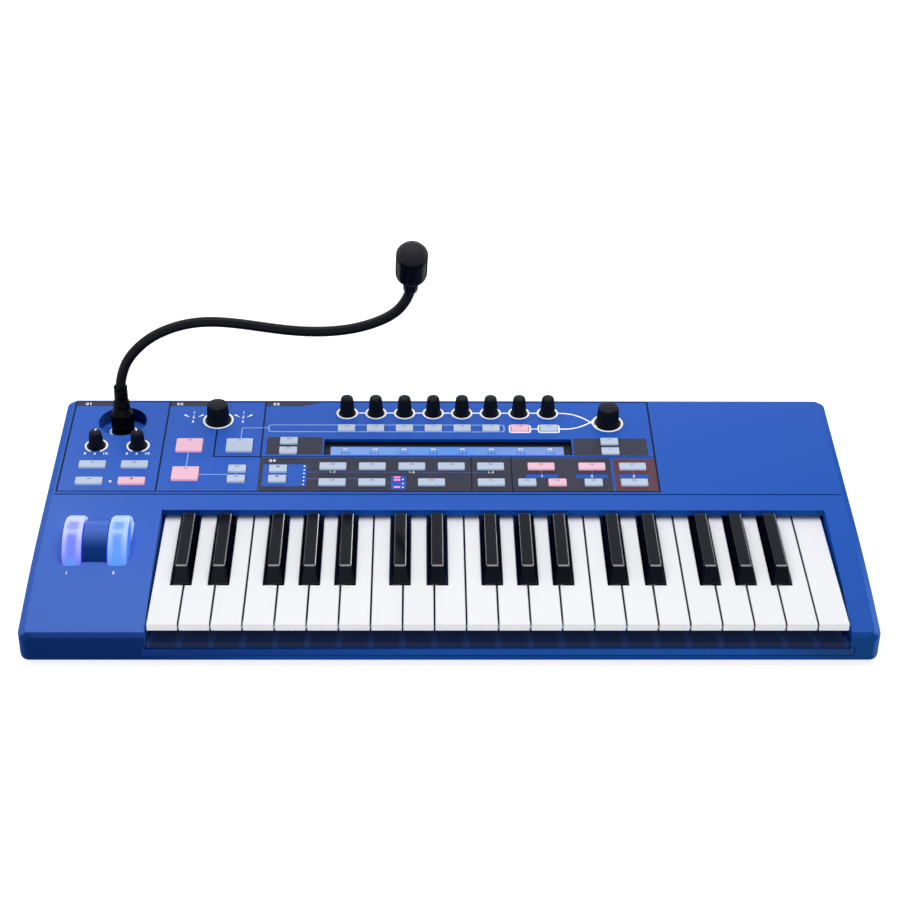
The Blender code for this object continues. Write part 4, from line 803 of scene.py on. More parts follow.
def panel_boxes(items, low, high):
    """Upright boxes through the panel from (u, v, width, depth, corner radius) in millimetres."""
    bm = bmesh.new()
    for u, v, wide, deep, radius in items:
        outline = rectangle(u, v, wide, deep)
        if radius:
            outline = rounded(outline, [radius] * 4, 3)
        skin(bm, [[bm.verts.new((x * MM, y * MM, z * MM)) for x, y in outline] for z in (low, high)])
    return to_mesh(bm, PANEL)


def build_case():
    reach = WHEEL_W / 2 + WHEEL_GAP
    left, right = KEYS_LEFT + PITCH_U + reach, KEYS_LEFT + MOD_U - reach
    middle = ((left + right) / 2, WHEEL_Y, WHEEL_Z)
    radius = WHEEL_R - 2.7 * MM
    slots = [barrel(u, WHEEL_R + WHEEL_GAP, WHEEL_W + 2 * WHEEL_GAP, 3.8 * MM) for u in (PITCH_U, MOD_U)]
    low_bridge = (left - 2 * WHEEL_GAP, WHEEL_Y - WHEEL_R, FOOT + WALL)
    high_bridge = (right + 2 * WHEEL_GAP, WHEEL_Y + WHEEL_R, WHEEL_Z + 5.1 * MM)
    shafts = [((u * MM, v * MM, 0), 3.5 * MM, 12 * MM, "z") for _, (u, v), _ in KNOBS]
    sockets = [(x, 5.7) for x in JACKS] + [(x, 8.7) for x in MIDI] + [(x, 4.9) for x in (*PHONO, 232)]
    rear_round = [((x * MM, REAR, SOCKET_Z * MM), r * MM, 18 * MM, "y") for x, r in sockets]
    rim = 9 * MM
    rear_square = []
    for x, wide, tall in ((170, 6.3, 5.8), (262, 6.8, 4.8)):
        low = ((x - wide) * MM, REAR - rim, (SOCKET_Z - tall) * MM)
        rear_square.append((low, ((x + wide) * MM, REAR + rim, (SOCKET_Z + tall) * MM)))
    windows = [(u, v, wide + 1.0, deep + 1.0, 1.0) for u, v, (wide, deep), _, _ in BUTTONS]
    half = CASE_WIDTH / 2 - rim
    open_low, open_high = 9.7 * MM, FRONT + 10.2 * MM
    well = ((WELL_LEFT, -FAR, open_low), (WELL_RIGHT, WELL_REAR, FAR))
    passage = ((WELL_LEFT, WELL_REAR - WALL, FOOT), (WELL_RIGHT, WELL_REAR + 2 * WALL, KEY_TOP + WALL))
    notch = ((WELL_LEFT - 3.7 * MM, -FAR, open_low), (WELL_RIGHT + 3.7 * MM, open_high, 17.3 * MM))
    bottom = ((-half, FRONT + rim, -FAR), (half, REAR - rim, 9.85 * MM))
    groove = ((-89.6 * MM, 20.1 * MM, -0.9 * MM), (537 * MM, 21.3 * MM, 2 * MM))
    steps = [
        ("DIFFERENCE", cavity()),
        ("UNION", rods([(middle, radius, right - left, "x")], None, 96)),
        ("DIFFERENCE", rods([(middle, radius - 2.6 * MM, right - left - 5.2 * MM, "x")])),
        ("DIFFERENCE", blocks([(low_bridge, high_bridge)])),
        ("DIFFERENCE", slots[0]),
        ("DIFFERENCE", slots[1]),
        ("UNION", rods([((*MIC_PLACE, -8.25 * MM), 23 * MM, 13.5 * MM, "z")], PANEL, 64)),
        ("UNION", rods([((0, 0, -9.3 * MM), 11.5 * MM, 18 * MM, "z")], MIC_FLOOR)),
        ("DIFFERENCE", rods([((0, 0, 20 * MM), 20 * MM, 40 * MM, "z")], MIC_FLOOR, 64)),
        ("DIFFERENCE", rods([((0, 0, -6.5 * MM), 7.95 * MM, 19 * MM, "z")], MIC_FLOOR)),
    ]
    steps += [("DIFFERENCE", blocks([corners])) for corners in (well, passage, notch, bottom)]
    cutters = (
        panel_boxes(windows, -6, 3), panel_boxes([(224.1, 85.05, 203.0, 22.3, 0)], -6, 3),
        rods(shafts, PANEL, 20), rods(rear_round, None, 24), blocks(rear_square), blocks([groove], PANEL),
    )
    steps += [("DIFFERENCE", cutter) for cutter in cutters]
    shell = cut(lofted(case_sections()), steps)
    piece("case_shell", shell, BLUE, "case", "upper_case", sharp=24, even=True)


def run_along(outline, low, high):
    """A (y, z) outline run along X."""
    return lofted([[(x, y, z) for y, z in outline] for x in (low, high)])


def build_base():
    """The base plate: the lip below the keys, the posts of the wheels and the screws underneath."""
    half = CASE_WIDTH / 2 - 9.3 * MM
    front, rear = FRONT + 9.3 * MM, REAR - 9.3 * MM
    lip_low, lip_top = 10.1 * MM, 15.0 * MM
    corners = [
        (FRONT, lip_low), (front, lip_low), (front, 5 * MM), (front + 2 * MM, 5 * MM),
        (front + 2 * MM, lip_top), (FRONT, lip_top),
    ]
    lip = rounded(corners, [r * MM for r in (0.35, 0.01, 0.01, 0.01, 0.4, 0.8)], 5)
    joint = lip[:6] + lip[-6:]
    left, right = WELL_LEFT - 3.1 * MM, WELL_RIGHT + 3.1 * MM
    ear_rear, ear_top = front + 0.3 * MM, 17 * MM
    ear = [(FRONT, lip_low), (ear_rear, lip_low), (ear_rear, ear_top), (FRONT, ear_top)]
    ear = rounded(ear, [r * MM for r in (0.35, 0.01, 0.01, 0.6)], 4)
    posts, slots, seats = [], [], []
    seat = 2.85 * MM
    for u, side in ((PITCH_U, -1), (PITCH_U, 1), (MOD_U, -1), (MOD_U, 1)):
        x = KEYS_LEFT + u + side * 10.1 * MM
        posts.append(((x - MM, WHEEL_Y - 7 * MM, 5 * MM), (x + MM, WHEEL_Y + 7 * MM, WHEEL_Z + 3.5 * MM)))
        slots.append(((x - 2 * MM, WHEEL_Y - seat, WHEEL_Z), (x + 2 * MM, WHEEL_Y + seat, FAR)))
        seats.append(((x, WHEEL_Y, WHEEL_Z), seat, 4 * MM, "x"))
    screws = [(x * MM, y * MM) for y in (-118, 118) for x in (-292, -150, 0, 150, 292)]
    screws += [(-180 * MM, 40 * MM), (180 * MM, 40 * MM)]
    sinks = [((x, y, FOOT), 4.2 * MM, 2.4 * MM, "z") for x, y in screws]
    added = (
        run_along(lip, WELL_LEFT + SEAM, WELL_RIGHT - SEAM), run_along(ear, left, WELL_LEFT - SEAM),
        run_along(ear, WELL_RIGHT + SEAM, right), run_along(joint, left + MM, WELL_LEFT + MM),
        run_along(joint, WELL_RIGHT - MM, right - MM), blocks(posts),
    )
    taken = (blocks(slots), rods(seats, None, 24), rods(sinks, None, 24))
    steps = [("UNION", mesh) for mesh in added] + [("DIFFERENCE", mesh) for mesh in taken]
    plate = cut(blocks([((-half, front, FOOT), (half, rear, FOOT + WALL))]), steps)
    piece("base_plate", plate, LIP_BLUE, "case", "lower_case", sharp=30, even=True)
    head = ((0, 0.9), (1.3, 0.85), (2.6, 0.6), (3.2, 0.1), (3.2, 0), (0, 0))
    long, thin, top = 1.8 * MM, 0.3 * MM, 2 * MM
    for k, (x, y) in enumerate(screws):
        place = Matrix.Translation((x, y, FOOT + 1.2 * MM)) @ Matrix.Rotation(math.pi, 4, "X")
        turn = place @ Matrix.Rotation(0.4 * k, 4, "Z")
        first = blocks([((-long, -thin, 0.35 * MM), (long, thin, top))], turn)
        second = blocks([((-thin, -long, 0.42 * MM), (thin, long, top))], turn)
        piece(f"base_screw_{k + 1}", less(turned(head, 24, place), first, second), NICKEL, "case", sharp=30)
    foot = (
        (0, 3.6), (9.6, 3.6), (9.9, 3.0), (9.9, 1.0), (9.5, 0.3), (8.8, 0.0), (4.0, 0.0), (3.4, 0.5),
        (3.2, 1.6), (0, 1.6),
    )
    for k, (x, y) in enumerate(((-277, -104.5), (277, -104.5), (-277, 104.5), (277, 104.5))):
        pad = turned(foot, 48, Matrix.Translation((x * MM, y * MM, 0)))
        piece(f"foot_{k + 1}", pad, FOOT_RUBBER, "case", sharp=40)


# Keys
def sharp_centre(index):
    """Where the black key after this white key stands, or nothing."""
    if not 0 <= index < WHITE_COUNT - 1 or not SHARPS[index % 7]:
        return None
    octave, step = divmod(index, 7)
    first, whites, place = (0, 3, step) if step < 3 else (3, 4, step - 3)
    share = whites * KEY_PITCH / (2 * whites - 1)
    return KEYS_LEFT + (octave * 7 + first) * KEY_PITCH + (2 * place + 1.5) * share


def white_outline(index, inset):
    left = KEYS_LEFT + index * KEY_PITCH + 0.5 * MM + inset
    right = KEYS_LEFT + (index + 1) * KEY_PITCH - 0.5 * MM - inset
    front = KEYS_FRONT + inset
    back = PIVOT_Y + 5 * MM if not inset else PIVOT_Y - 8.6 * MM
    step = KEYS_FRONT + 48.5 * MM - inset
    reach = 7.9 * MM + inset
    before, after = sharp_centre(index - 1), sharp_centre(index)
    outline = [(left, front), (right, front)]
    if after is None:
        outline.append((right, back))
    else:
        outline += [(right, step), (after - reach, step), (after - reach, back)]
    if before is None:
        outline.append((left, back))
    else:
        outline += [(before + reach, back), (before + reach, step), (left, step)]
    return outline


def rounded_edges(bm, chosen, offset, segments):
    """Round the chosen edges of a form."""
    size = {"offset": offset, "segments": segments, "profile": 0.5}
    bmesh.ops.bevel(bm, geom=list(filter(chosen, bm.edges)), affect="EDGES", clamp_overlap=True, **size)


def pivot_cutters():
    """What makes room for the rail that the keys turn on."""
    middle, span = (KEYS_LEFT + KEYS_RIGHT) / 2, KEYS_RIGHT - KEYS_LEFT + 10 * MM
    radius = 2.35 * MM
    low = (KEYS_LEFT - WALL, PIVOT_Y - radius, 0)
    high = (KEYS_RIGHT + WALL, PIVOT_Y + radius, PIVOT_Z)
    return rods([((middle, PIVOT_Y, PIVOT_Z), radius, span, "x")], None, 16), blocks([(low, high)])


def prism(outline, low, high):
    bm = bmesh.new()
    skin(bm, [[bm.verts.new((x, y, z)) for x, y in outline] for z in (low, high)])
    bm.normal_update()
    return bm


def build_white_key(index):
    bm = prism(white_outline(index, 0), 23 * MM, KEY_TOP)

    def is_outer(edge):
        a, b = (vert.co for vert in edge.verts)
        return min(a.z, b.z) > KEY_TOP - 1e-6 or max(a.y, b.y) < KEYS_FRONT + 1e-5 and abs(a.x - b.x) < 1e-6

    rounded_edges(bm, is_outer, 0.75 * MM, 3)
    hollow = to_mesh(prism(white_outline(index, 2.2 * MM), 20 * MM, KEY_TOP - 2.2 * MM))
    lip = ((KEYS_LEFT - WALL, -FAR, 0), (KEYS_RIGHT + WALL, KEYS_FRONT + 13 * MM, 31.2 * MM))
    node = f"white_key_{index + 1:02d}"
    shell = less(to_mesh(bm), hollow, blocks([lip]), *pivot_cutters())
    piece(f"white_key_shell_{index + 1:02d}", shell, IVORY, node, node, sharp=35, even=True)


def build_black_key(number, centre):
    """A black key: straight sides low down, a tapered crowned top and a sloping nose."""
    front, back = KEYS_FRONT + 49.5 * MM, KEYS_FRONT + 128.5 * MM
    base, top = 31.2 * MM, 48.5 * MM
    bm = bmesh.new()
    rings = []
    for z, half, nose, tail in (
        (base, 6.9 * MM, 0, 0),
        (KEY_TOP + 0.6 * MM, 6.65 * MM, 0.35 * MM, 0),
        (top, 4.7 * MM, 8.5 * MM, 0.4 * MM),
    ):
        corners = [(-half, front + nose), (half, front + nose), (half, back - tail), (-half, back - tail)]
        rings.append([bm.verts.new((centre + x, y, z)) for x, y in corners])
    skin(bm, rings)
    bm.normal_update()

    def is_upper(edge):
        a, b = (vert.co.z for vert in edge.verts)
        return min(a, b) > KEY_TOP + 0.5 * MM and (min(a, b) > top - 1e-6 or abs(a - b) > 1 * MM)

    rounded_edges(bm, is_upper, 1.2 * MM, 5)
    low, high = (centre - 4 * MM, front + 4.4 * MM, 23 * MM), (centre + 4 * MM, PIVOT_Y + 5 * MM, 36.7 * MM)
    node = f"black_key_{number:02d}"
    steps = [("UNION", blocks([(low, high)]))] + [("DIFFERENCE", cutter) for cutter in pivot_cutters()]
    shell = cut(to_mesh(bm), steps)
    piece(f"black_key_shell_{number:02d}", shell, EBONY, node, node, sharp=35, even=True)


def build_keys():
    for index in range(WHITE_COUNT):
        build_white_key(index)
    centres = [centre for centre in map(sharp_centre, range(WHITE_COUNT)) if centre is not None]
    for number, centre in enumerate(centres, 1):
        build_black_key(number, centre)


# Wheels
def wheel_profile(radius, reach, steps):
    """The outline of a wheel: most of a half circle, closed below round its hub."""
    angles = [math.pi / 2 + reach - 2 * reach * k / steps for k in range(steps + 1)]
    points = [(radius * math.cos(angle), radius * math.sin(angle)) for angle in angles]
    hub = [-math.radians(10 + 20 * k) for k in range(9)]
    return points + [(7 * MM * math.cos(angle), 7 * MM * math.sin(angle)) for angle in hub]


def build_wheel(node, u, paint):
    """A clear wheel with rounded rims, a finger dimple at its top and a ridge in front of it."""
    half, edge = WHEEL_W / 2, 3.0 * MM
    turns = [math.radians(15 * k) for k in range(7)]
    slices = [(-half + edge * (1 - math.cos(a)), edge * (1 - math.sin(a))) for a in turns]
    slices += [(-x, down) for x, down in reversed(slices)]
    reach = math.radians(93)
    tread = [[(x, y, z) for y, z in wheel_profile(WHEEL_R - down, reach, 64)] for x, down in slices]
    angle, radius = math.radians(109), WHEEL_R - 0.15 * MM
    ridge = ((0, radius * math.cos(angle), radius * math.sin(angle)), 0.5 * MM, WHEEL_W * 0.64, "x")
    tilt = Matrix.Rotation(math.radians(7), 4, "X")
    dimple = rods([((0, 0, WHEEL_R + 7.5 * MM), 8.5 * MM, WHEEL_W * 0.6, "x")], tilt, 64)
    axle = rods([((0, 0, 0), 2.5 * MM, 23.2 * MM, "x")], None, 24)
    steps = [("DIFFERENCE", dimple), ("UNION", rods([ridge], None, 16)), ("UNION", axle)]
    wheel = cut(lofted(tread), steps)
    wheel.transform(Matrix.Translation((KEYS_LEFT + u, WHEEL_Y, WHEEL_Z)))
    piece(f"{node}_body", wheel, paint, node, node, sharp=40, even=True)


# Knobs and buttons: the profile of each kind of knob, and its ribs
KNOB_SHAPES = {
    "encoder": (
        [
            (0, 15.8), (2.6, 15.75), (3.9, 15.45), (4.7, 14.9), (5.1, 14.0), (5.3, 12.6), (5.45, 10.5),
            (5.68, 7.5), (5.88, 5.0), (6.05, 3.0), (6.2, 1.2), (6.3, 0.4), (6.3, 0.0),
        ],
        (18, 0.22, 4.0, 13.5),
    ),
    "pot": (
        [
            (0, 13.95), (2.6, 13.9), (3.7, 13.7), (4.35, 13.3), (4.8, 12.6), (5.05, 11.4), (5.3, 9.0),
            (5.6, 6.5), (5.9, 4.0), (6.15, 2.0), (6.35, 0.6), (6.35, 0.0),
        ],
        (18, 0.2, 4.0, 12.0),
    ),
    "large": (
        [
            (0, 15.9), (6.7, 15.85), (7.7, 15.6), (8.25, 15.1), (8.55, 14.3), (8.8, 11.5), (9.05, 7.5),
            (9.25, 4.0), (9.4, 1.8), (9.5, 0.6), (9.5, 0.0),
        ],
        (32, 0.28, 1.5, 14.5),
    ),
}


def build_knobs():
    for node, (u, v), kind in KNOBS:
        profile, ribs = KNOB_SHAPES[kind]
        profile = dense(profile, 1.5) + [(3.0, 0.0), (3.0, -9.0), (0, -9.0)]
        place = PANEL @ Matrix.Translation((u * MM, v * MM, 0.6 * MM))
        piece(f"{node}_cap", turned(profile, ribs[0] * 6, place, ribs), RUBBER, node, node, sharp=50)
        if kind == "pot":
            build_pointer(node, place)


def build_pointer(node, place):
    """The white line on a level knob, from its top down its back edge."""
    turn = Matrix.Rotation(math.radians(-8 if node == "volume_knob" else 16), 4, "Z")
    path = ((0.9, 14.02), (3.0, 13.95), (4.0, 13.65), (4.6, 13.0), (4.95, 12.0), (5.25, 10.2))
    corners = ((-0.55, 0.06), (0.55, 0.06), (0.55, -0.2), (-0.55, -0.2))
    rows = [
        [(side * MM, reach * MM, (height + lift) * MM) for side, lift in corners] for reach, height in path
    ]
    piece(f"{node}_line", lofted(rows, place @ turn), WHITE_INK, node)


# The height and inset of each ring of a button's cap
CAP_LEVELS = ((-2.9, -0.07), (1.2, -0.07), (1.49, 0.02), (1.71, 0.24), (1.8, 0.6), (1.8, 1.0))


def build_buttons():
    """Silicone caps with rounded corners and soft top edges."""
    for lit, paint, name in ((False, SILICONE, "button_caps"), (True, LIT, "button_caps_lit")):
        bm = bmesh.new()
        for u, v, (wide, deep), is_lit, _ in BUTTONS:
            if is_lit != lit:
                continue
            rings = []
            for height, inset in CAP_LEVELS:
                outline = rounded(rectangle(u, v, wide, deep, inset), [0.9] * 4, 4)
                rings.append([bm.verts.new((x * MM, y * MM, height * MM)) for x, y in outline])
            skin(bm, rings)
        piece(name, to_mesh(bm, PANEL), paint, "buttons", sharp=40)
    paint_node("button_pad", SILICONE)


# Printing on the panel
class Print:
    """Flat shapes on the panel in one ink, all in one mesh."""

    def __init__(self, name, paint, body="case", base=-0.06, top=0.05):
        self.name, self.paint, self.body = name, paint, body
        self.base, self.top = base, top
        self.bm = bmesh.new()

    def points(self, outline, height):
        return [self.bm.verts.new((x * MM, y * MM, height * MM)) for x, y in outline]

    def slab(self, outer, inner=None):
        """A filled outline, or the band between two outlines of the same count."""
        rings = [self.points(outer, self.base), self.points(outer, self.top)]
        if inner:
            rings += [self.points(inner, self.top), self.points(inner, self.base)]
        skin(self.bm, rings, bool(inner))

    def line(self, points, width):
        """A stroke of constant width along a path."""
        points = [Vector(point) for point in points]
        rows = []
        for k, here in enumerate(points):
            before = (here - points[k - 1]).normalized() if k else None
            after = (points[k + 1] - here).normalized() if k + 1 < len(points) else None
            along = ((before or after) + (after or before)).normalized()
            side = Vector((-along.y, along.x)) * width / 2 / max(abs(along.dot(before or after)), 0.5)
            left, right = here + side, here - side
            corners = ((left, self.base), (right, self.base), (right, self.top), (left, self.top))
            rows.append([self.bm.verts.new((p.x * MM, p.y * MM, height * MM)) for p, height in corners])
        skin(self.bm, rows)

    def rects(self, *corners):
        for u0, v0, u1, v1 in corners:
            self.slab([(u0, v0), (u1, v0), (u1, v1), (u0, v1)])

    def frame(self, u, v, wide, deep, radius, width):
        """The outline of a rectangle with rounded corners."""
        insets = (0, width)
        radii = [max(radius - inset, 0.1) for inset in insets]
        shapes = [rectangle(u, v, wide, deep, inset) for inset in insets]
        self.slab(*(rounded(shape, [arc] * 4, 5) for shape, arc in zip(shapes, radii)))

    def ring(self, u, v, outer, inner):
        angles = [2 * math.pi * k / 72 for k in range(72)]
        self.slab(*([(u + r * math.cos(a), v + r * math.sin(a)) for a in angles] for r in (outer, inner)))

    def text(self, words, u, v, size):
        curve = bpy.data.curves.new("mark", "FONT")
        curve.body = words
        curve.size = size * MM
        curve.align_x = "CENTER"
        curve.align_y = "CENTER"
        curve.extrude = (self.top - self.base) / 2 * MM
        curve.offset = size * 0.02 * MM
        curve.space_character = 1.15
        curve.resolution_u = 2
        obj = new_object("mark", curve)
        bpy.context.view_layer.update()
        mesh = bpy.data.meshes.new_from_object(obj.evaluated_get(bpy.context.evaluated_depsgraph_get()))
        mesh.transform(Matrix.Translation((u * MM, v * MM, (self.top + self.base) / 2 * MM)))
        self.bm.from_mesh(mesh)
        bpy.data.objects.remove(obj, do_unlink=True)
        bpy.data.meshes.remove(mesh)
        bpy.data.curves.remove(curve)

    def done(self, place=PANEL):
        bmesh.ops.remove_doubles(self.bm, verts=self.bm.verts, dist=1e-7)
        piece(self.name, to_mesh(self.bm, place), self.paint, self.body)


def print_areas():
    """Dark tabs along the rear edge, and the dark and brown fields behind the buttons."""
    dark = Print("print_dark_areas", CHARCOAL)
    low, high = 143.6, 149.6
    dark.slab([(-87.0, low), (-52.0, low), (-46.0, high), (-87.0, high)])
    dark.slab([(-9.0, low), (26.0, low), (34.0, high), (-9.0, high)])
    dark.slab([(71.5, low), (101.5, low), (106.0, 144.9), (118.5, high), (71.5, high)])
    dark.rects(
        (75.7, 74.6, 121.4, 98.8), (327.0, 73.4, 387.6, 97.4), (71.5, 24.8, 74.7, 69.9),
        (74.7, 61.0, 110.0, 69.9), (74.7, 24.8, 110.0, 31.3), (110.0, 24.8, 178.0, 69.9),
        (178.0, 45.2, 189.8, 69.9), (178.0, 24.8, 189.8, 27.4), (189.8, 24.8, 286.5, 69.9),
        (286.5, 47.4, 355.6, 69.9), (286.5, 24.8, 355.6, 42.6), (312.0, 42.6, 326.8, 47.4),
        (352.2, 42.6, 355.6, 47.4),
    )
    dark.done()
    brown = Print("print_brown_area", BROWN)
    brown.rects((357.6, 47.4, 391.9, 69.0), (357.6, 24.8, 391.9, 42.6))
    brown.rects((357.6, 42.6, 361.2, 47.4), (385.6, 42.6, 391.9, 47.4))
    brown.done()


def print_dark_lines():
    ink = Print("print_dark_lines", NAVY, top=0.07)
    for u, low, width in ((-87.6, 24.6, 1.4), (-9.0, 24.6, 1.3), (71.5, 69.9, 1.3), (392.5, 24.2, 1.5)):
        ink.line([(u, low), (u, 149.9)], width)
    for v, width in ((24.4, 1.1), (150.0, 1.2)):
        ink.line([(-88.1, v), (393.0, v)], width)
    ink.line([(33.4, 110.0), (33.5, 71.4), (71.5, 71.4)], 1.2)
    ink.line([(71.5, 71.4), (392.5, 71.4)], 0.9)
    for u in (242.6, 275.1):
        ink.line([(u, 24.6), (u, 69.9)], 1.0)
    ink.done()


def print_wells():
    """Black discs under the knobs, inside their white rings."""
    ink = Print("print_knob_wells", CHASSIS, top=0.04)
    for _, (u, v), kind in KNOBS:
        ink.ring(u, v, {"encoder": 7.6, "pot": 8.1, "large": 11.3}[kind], 3.6)
    ink.done()


def print_white():
    """Rings round the knobs, the lines that join them, and plain numbers."""
    ink = Print("print_white_marks", WHITE_INK, top=0.09)
    for u in ENCODER_U:
        ink.ring(u, ENCODER_V, 9.0, 7.4)
        if u != ENCODER_U[-1]:
            ink.line([(u + 8.8, ENCODER_V), (u + 15.15, ENCODER_V)], 1.4)
    ink.ring(33.3, 123.2, 12.7, 11.1)
    ink.ring(357.3, 119.6, 13.0, 11.2)
    for u in POT_U:
        angles = [math.radians(-65 + 310 * k / 48) for k in range(49)]
        ink.line([(u + 8.75 * math.cos(a), 86.5 + 8.75 * math.sin(a)) for a in angles], 1.5)
    start = (ENCODER_U[-1] + 9, ENCODER_V)
    upper = [start, (323.5, 133.2), (330.9, 130.7), (337.6, 126.2), (343.1, 120.7), (348.0, 114.0)]
    lower = [(317.0, 110.8), (324.5, 111.0), (331.5, 112.9), (337.5, 116.3), (343.1, 120.7), (347.2, 126.6)]
    for path in (upper, lower):
        ink.line(curved(path, 8), 1.4)
    for u in ENCODER_U[6:]:
        ink.frame(u, 110.95, 18.2, 11.5, 2.6, 1.2)
    ink.line([(293.1, 110.9), (298.8, 110.9)], 1.2)
    for u, lean in ((12.5, 5.9), (53.8, 5.2)):
        ink.slab([(u, 124.9), (u + 1.0, 127.6), (u - 1.0, 127.6)])
        ink.line([(u, 127.4), (u, 130.6)], 0.4)
        for side in (-1, 1):
            outer, inner = u + side * (lean + 2.6), u + side * (lean - 2.4)
            dart = [(inner, 127.3), (outer, 130.2)]
            dart += [(outer - side * 1.2, 131.6), (inner + side * 0.8, 128.6)]
            ink.slab(dart[::side])
    numbers = [(word, u, v, 4.2) for u in (12.4, 53.8) for word, v in (("1", 134.0), ("2", 121.0))]
    for u in POT_U:
        numbers += [("0", u - 8.0, 75.4, 4.0), ("5", u, 75.0, 4.0), ("10", u + 8.4, 75.4, 4.0)]
    numbers += [("1-3", 130.7, 50.4, 3.4), ("1-2", 194.4, 50.2, 3.4), ("1-3", 258.3, 50.0, 3.4)]
    numbers += [(word, u, 45.0, 4.0) for word, u in (("1", 299.3), ("2", 339.5), ("3", 373.4))]
    numbers += [(word, u, 146.5, 5.0) for word, u in (("01", -77.0), ("02", -0.5), ("03", 80.5))]
    numbers += [("04", 81.5, 65.6, 5.0), ("0", -46.4, 37.3, 4.4)]
    for number in numbers:
        ink.text(*number)
    ink.done()


def paint_groove_shadow():
    """A painted shadow along the bottom of the seam below the control panel."""
    ink = Print("groove_shadow", NAVY, base=-0.96, top=-0.8)
    ink.line([(-89.5, 20.7), (536.9, 20.7)], 1.15)
    ink.done()


def print_wheel_marks():
    """A plain numeral in front of each wheel, on the sloping cheek."""
    y = -83 * MM
    slope = math.atan((surface_height(y + MM) - surface_height(y - MM)) / (2 * MM))
    ink = Print("wheel_marks", WHITE_INK, top=0.09)
    ink.text("1", -66.2, 0, 4.0)
    ink.text("2", -30.7, 0, 4.0)
    ink.done(Matrix.Translation((KEYS_LEFT, y, surface_height(y))) @ Matrix.Rotation(slope, 4, "X"))


def print_pale():
    """Thin pale and blue lines that join the buttons."""
    ink = Print("print_pale_lines", PALE_INK, top=0.08)
    ink.frame(173.5, 111.5, 195.6, 10.6, 3.4, 0.8)
    ink.line([(76.0, 112.0), (54.0, 112.0), (54.0, 95.2)], 0.7)
    ink.line([(12.5, 77.6), (12.5, 55.8)], 0.7)
    ink.line([(23.4, 46.9), (46.4, 46.9)], 0.7)
    ink.line([(53.7, 49.6), (53.7, 44.6)], 0.5)
    ink.done()
    blue = Print("print_blue_lines", PRINT_BLUE, top=0.09)
    for start, end in (
        ((110.0, 50.2), (126.5, 50.2)), ((134.8, 50.2), (190.3, 50.1)), ((198.4, 50.1), (254.2, 50.0)),
        ((110.0, 41.4), (119.8, 41.4)), ((141.9, 41.4), (151.7, 41.4)), ((173.7, 35.6), (178.0, 35.6)),
        ((299.1, 47.0), (299.1, 52.6)), ((340.1, 47.0), (340.1, 52.6)), ((373.4, 47.0), (373.4, 52.6)),
    ):
        blue.line([start, end], 0.5)
    blue.done()


def print_lamps():
    white = Print("leds_white", LED_WHITE, top=0.12)
    for u, v in [(107.9, 58.2 - 4.92 * k) for k in range(6)] + [(187.5, v) for v in (40.2, 34.9, 29.9)]:
        white.ring(u, v, 0.6, 0.05)
    white.done()
    pink = Print("leds_pink", LED_PINK, top=0.12)
    for v in (43.2, 39.7, 30.1):
        pink.slab(rounded(rectangle(182.8, v, 5.2, 2.0), [0.4] * 4, 4))
    pink.done()


def print_button_marks():
    """A plain mark on each button: a number, a plus, a minus or an arrow."""
    ink = Print("button_marks", GREY_INK, "buttons", 1.7, 1.86)
    dark = Print("button_symbols", CHASSIS, "buttons", 1.7, 1.86)
    for u, v, (_, deep), _, mark in BUTTONS:
        high = v + deep / 2 - 2.6
        if mark in ("minus", "plus"):
            dark.rects((u - 1.6, high - 0.3, u + 1.6, high + 0.3))
            if mark == "plus":
                dark.rects((u - 0.3, high + 0.3, u + 0.3, high + 1.6))
                dark.rects((u - 0.3, high - 1.6, u + 0.3, high - 0.3))
        elif mark in ("up", "down"):
            way = 1 if mark == "up" else -1
            foot = high - 0.9 * way
            dark.slab([(u - 1.7 * way, foot), (u + 1.7 * way, foot), (u, high + 1.1 * way)])
        else:
            ink.text(mark, u, high, 3.2)
    ink.done()
    dark.done()


# Display, sockets and microphone
def build_display():
    """Black walls round a lit glass with plain numbers."""
    paint_node("display_module", DARK_PLASTIC)
    piece("display_glass", panel_boxes([(223.5, 83.2, 191.2, 16.6, 0)], -4.7, -4.4), SCREEN, "case")
    bright = Print("display_digits_bright", WHITE_INK, base=-4.45, top=-4.36)
    deep = Print("display_digits_deep", PRINT_BLUE, base=-4.45, top=-4.36)
    for k, u in enumerate(ENCODER_U):
        bright.text(f"{k + 1:02d}", u, 88.0, 3.6)
        deep.text(f"{k * 16:03d}", u, 82.4, 5.0)
    bright.done()
    deep.done()
    walls = ((122.6, 96.1, 325.6, 96.3), (122.5, 73.9, 122.7, 96.2), (325.5, 73.9, 325.7, 96.2))
    liner = [((a * MM, b * MM, -4.5 * MM), (c * MM, d * MM, -3.0 * MM)) for a, b, c, d in walls]
    piece("display_liner", blocks(liner, PANEL), DARK_PLASTIC, "case")


def build_rims(kind, places, outer, depth):
    """Metal rims of sockets in the rear wall, with sizes in millimetres."""
    for k, x in enumerate(places):
        place = Matrix.Translation((x * MM, REAR, SOCKET_Z * MM)) @ Matrix.Rotation(-math.pi / 2, 4, "X")
        rim = hoop(outer, 3.4, -depth, -0.02, 36, place)
        piece(f"{kind}_rim_{k + 1}", rim, NICKEL, "case", sharp=40)


def build_sockets():
    paint_node("socket_board", DARK_PLASTIC)
    build_rims("jack", JACKS, 5.2, 1.2)
    for k, x in enumerate(MIDI):
        angles = [math.radians(-45 * step) for step in range(5)]
        spots = [((x + 3.6 * math.cos(a)) * MM, (SOCKET_Z + 0.6 + 3.6 * math.sin(a)) * MM) for a in angles]
        pins = [((px, REAR - 3.2 * MM, pz), 0.6 * MM, 4 * MM, "y") for px, pz in spots]
        piece(f"midi_pins_{k + 1}", rods(pins, None, 12), NICKEL, "case")
    build_rims("phono", PHONO, 4.3, 2.2)


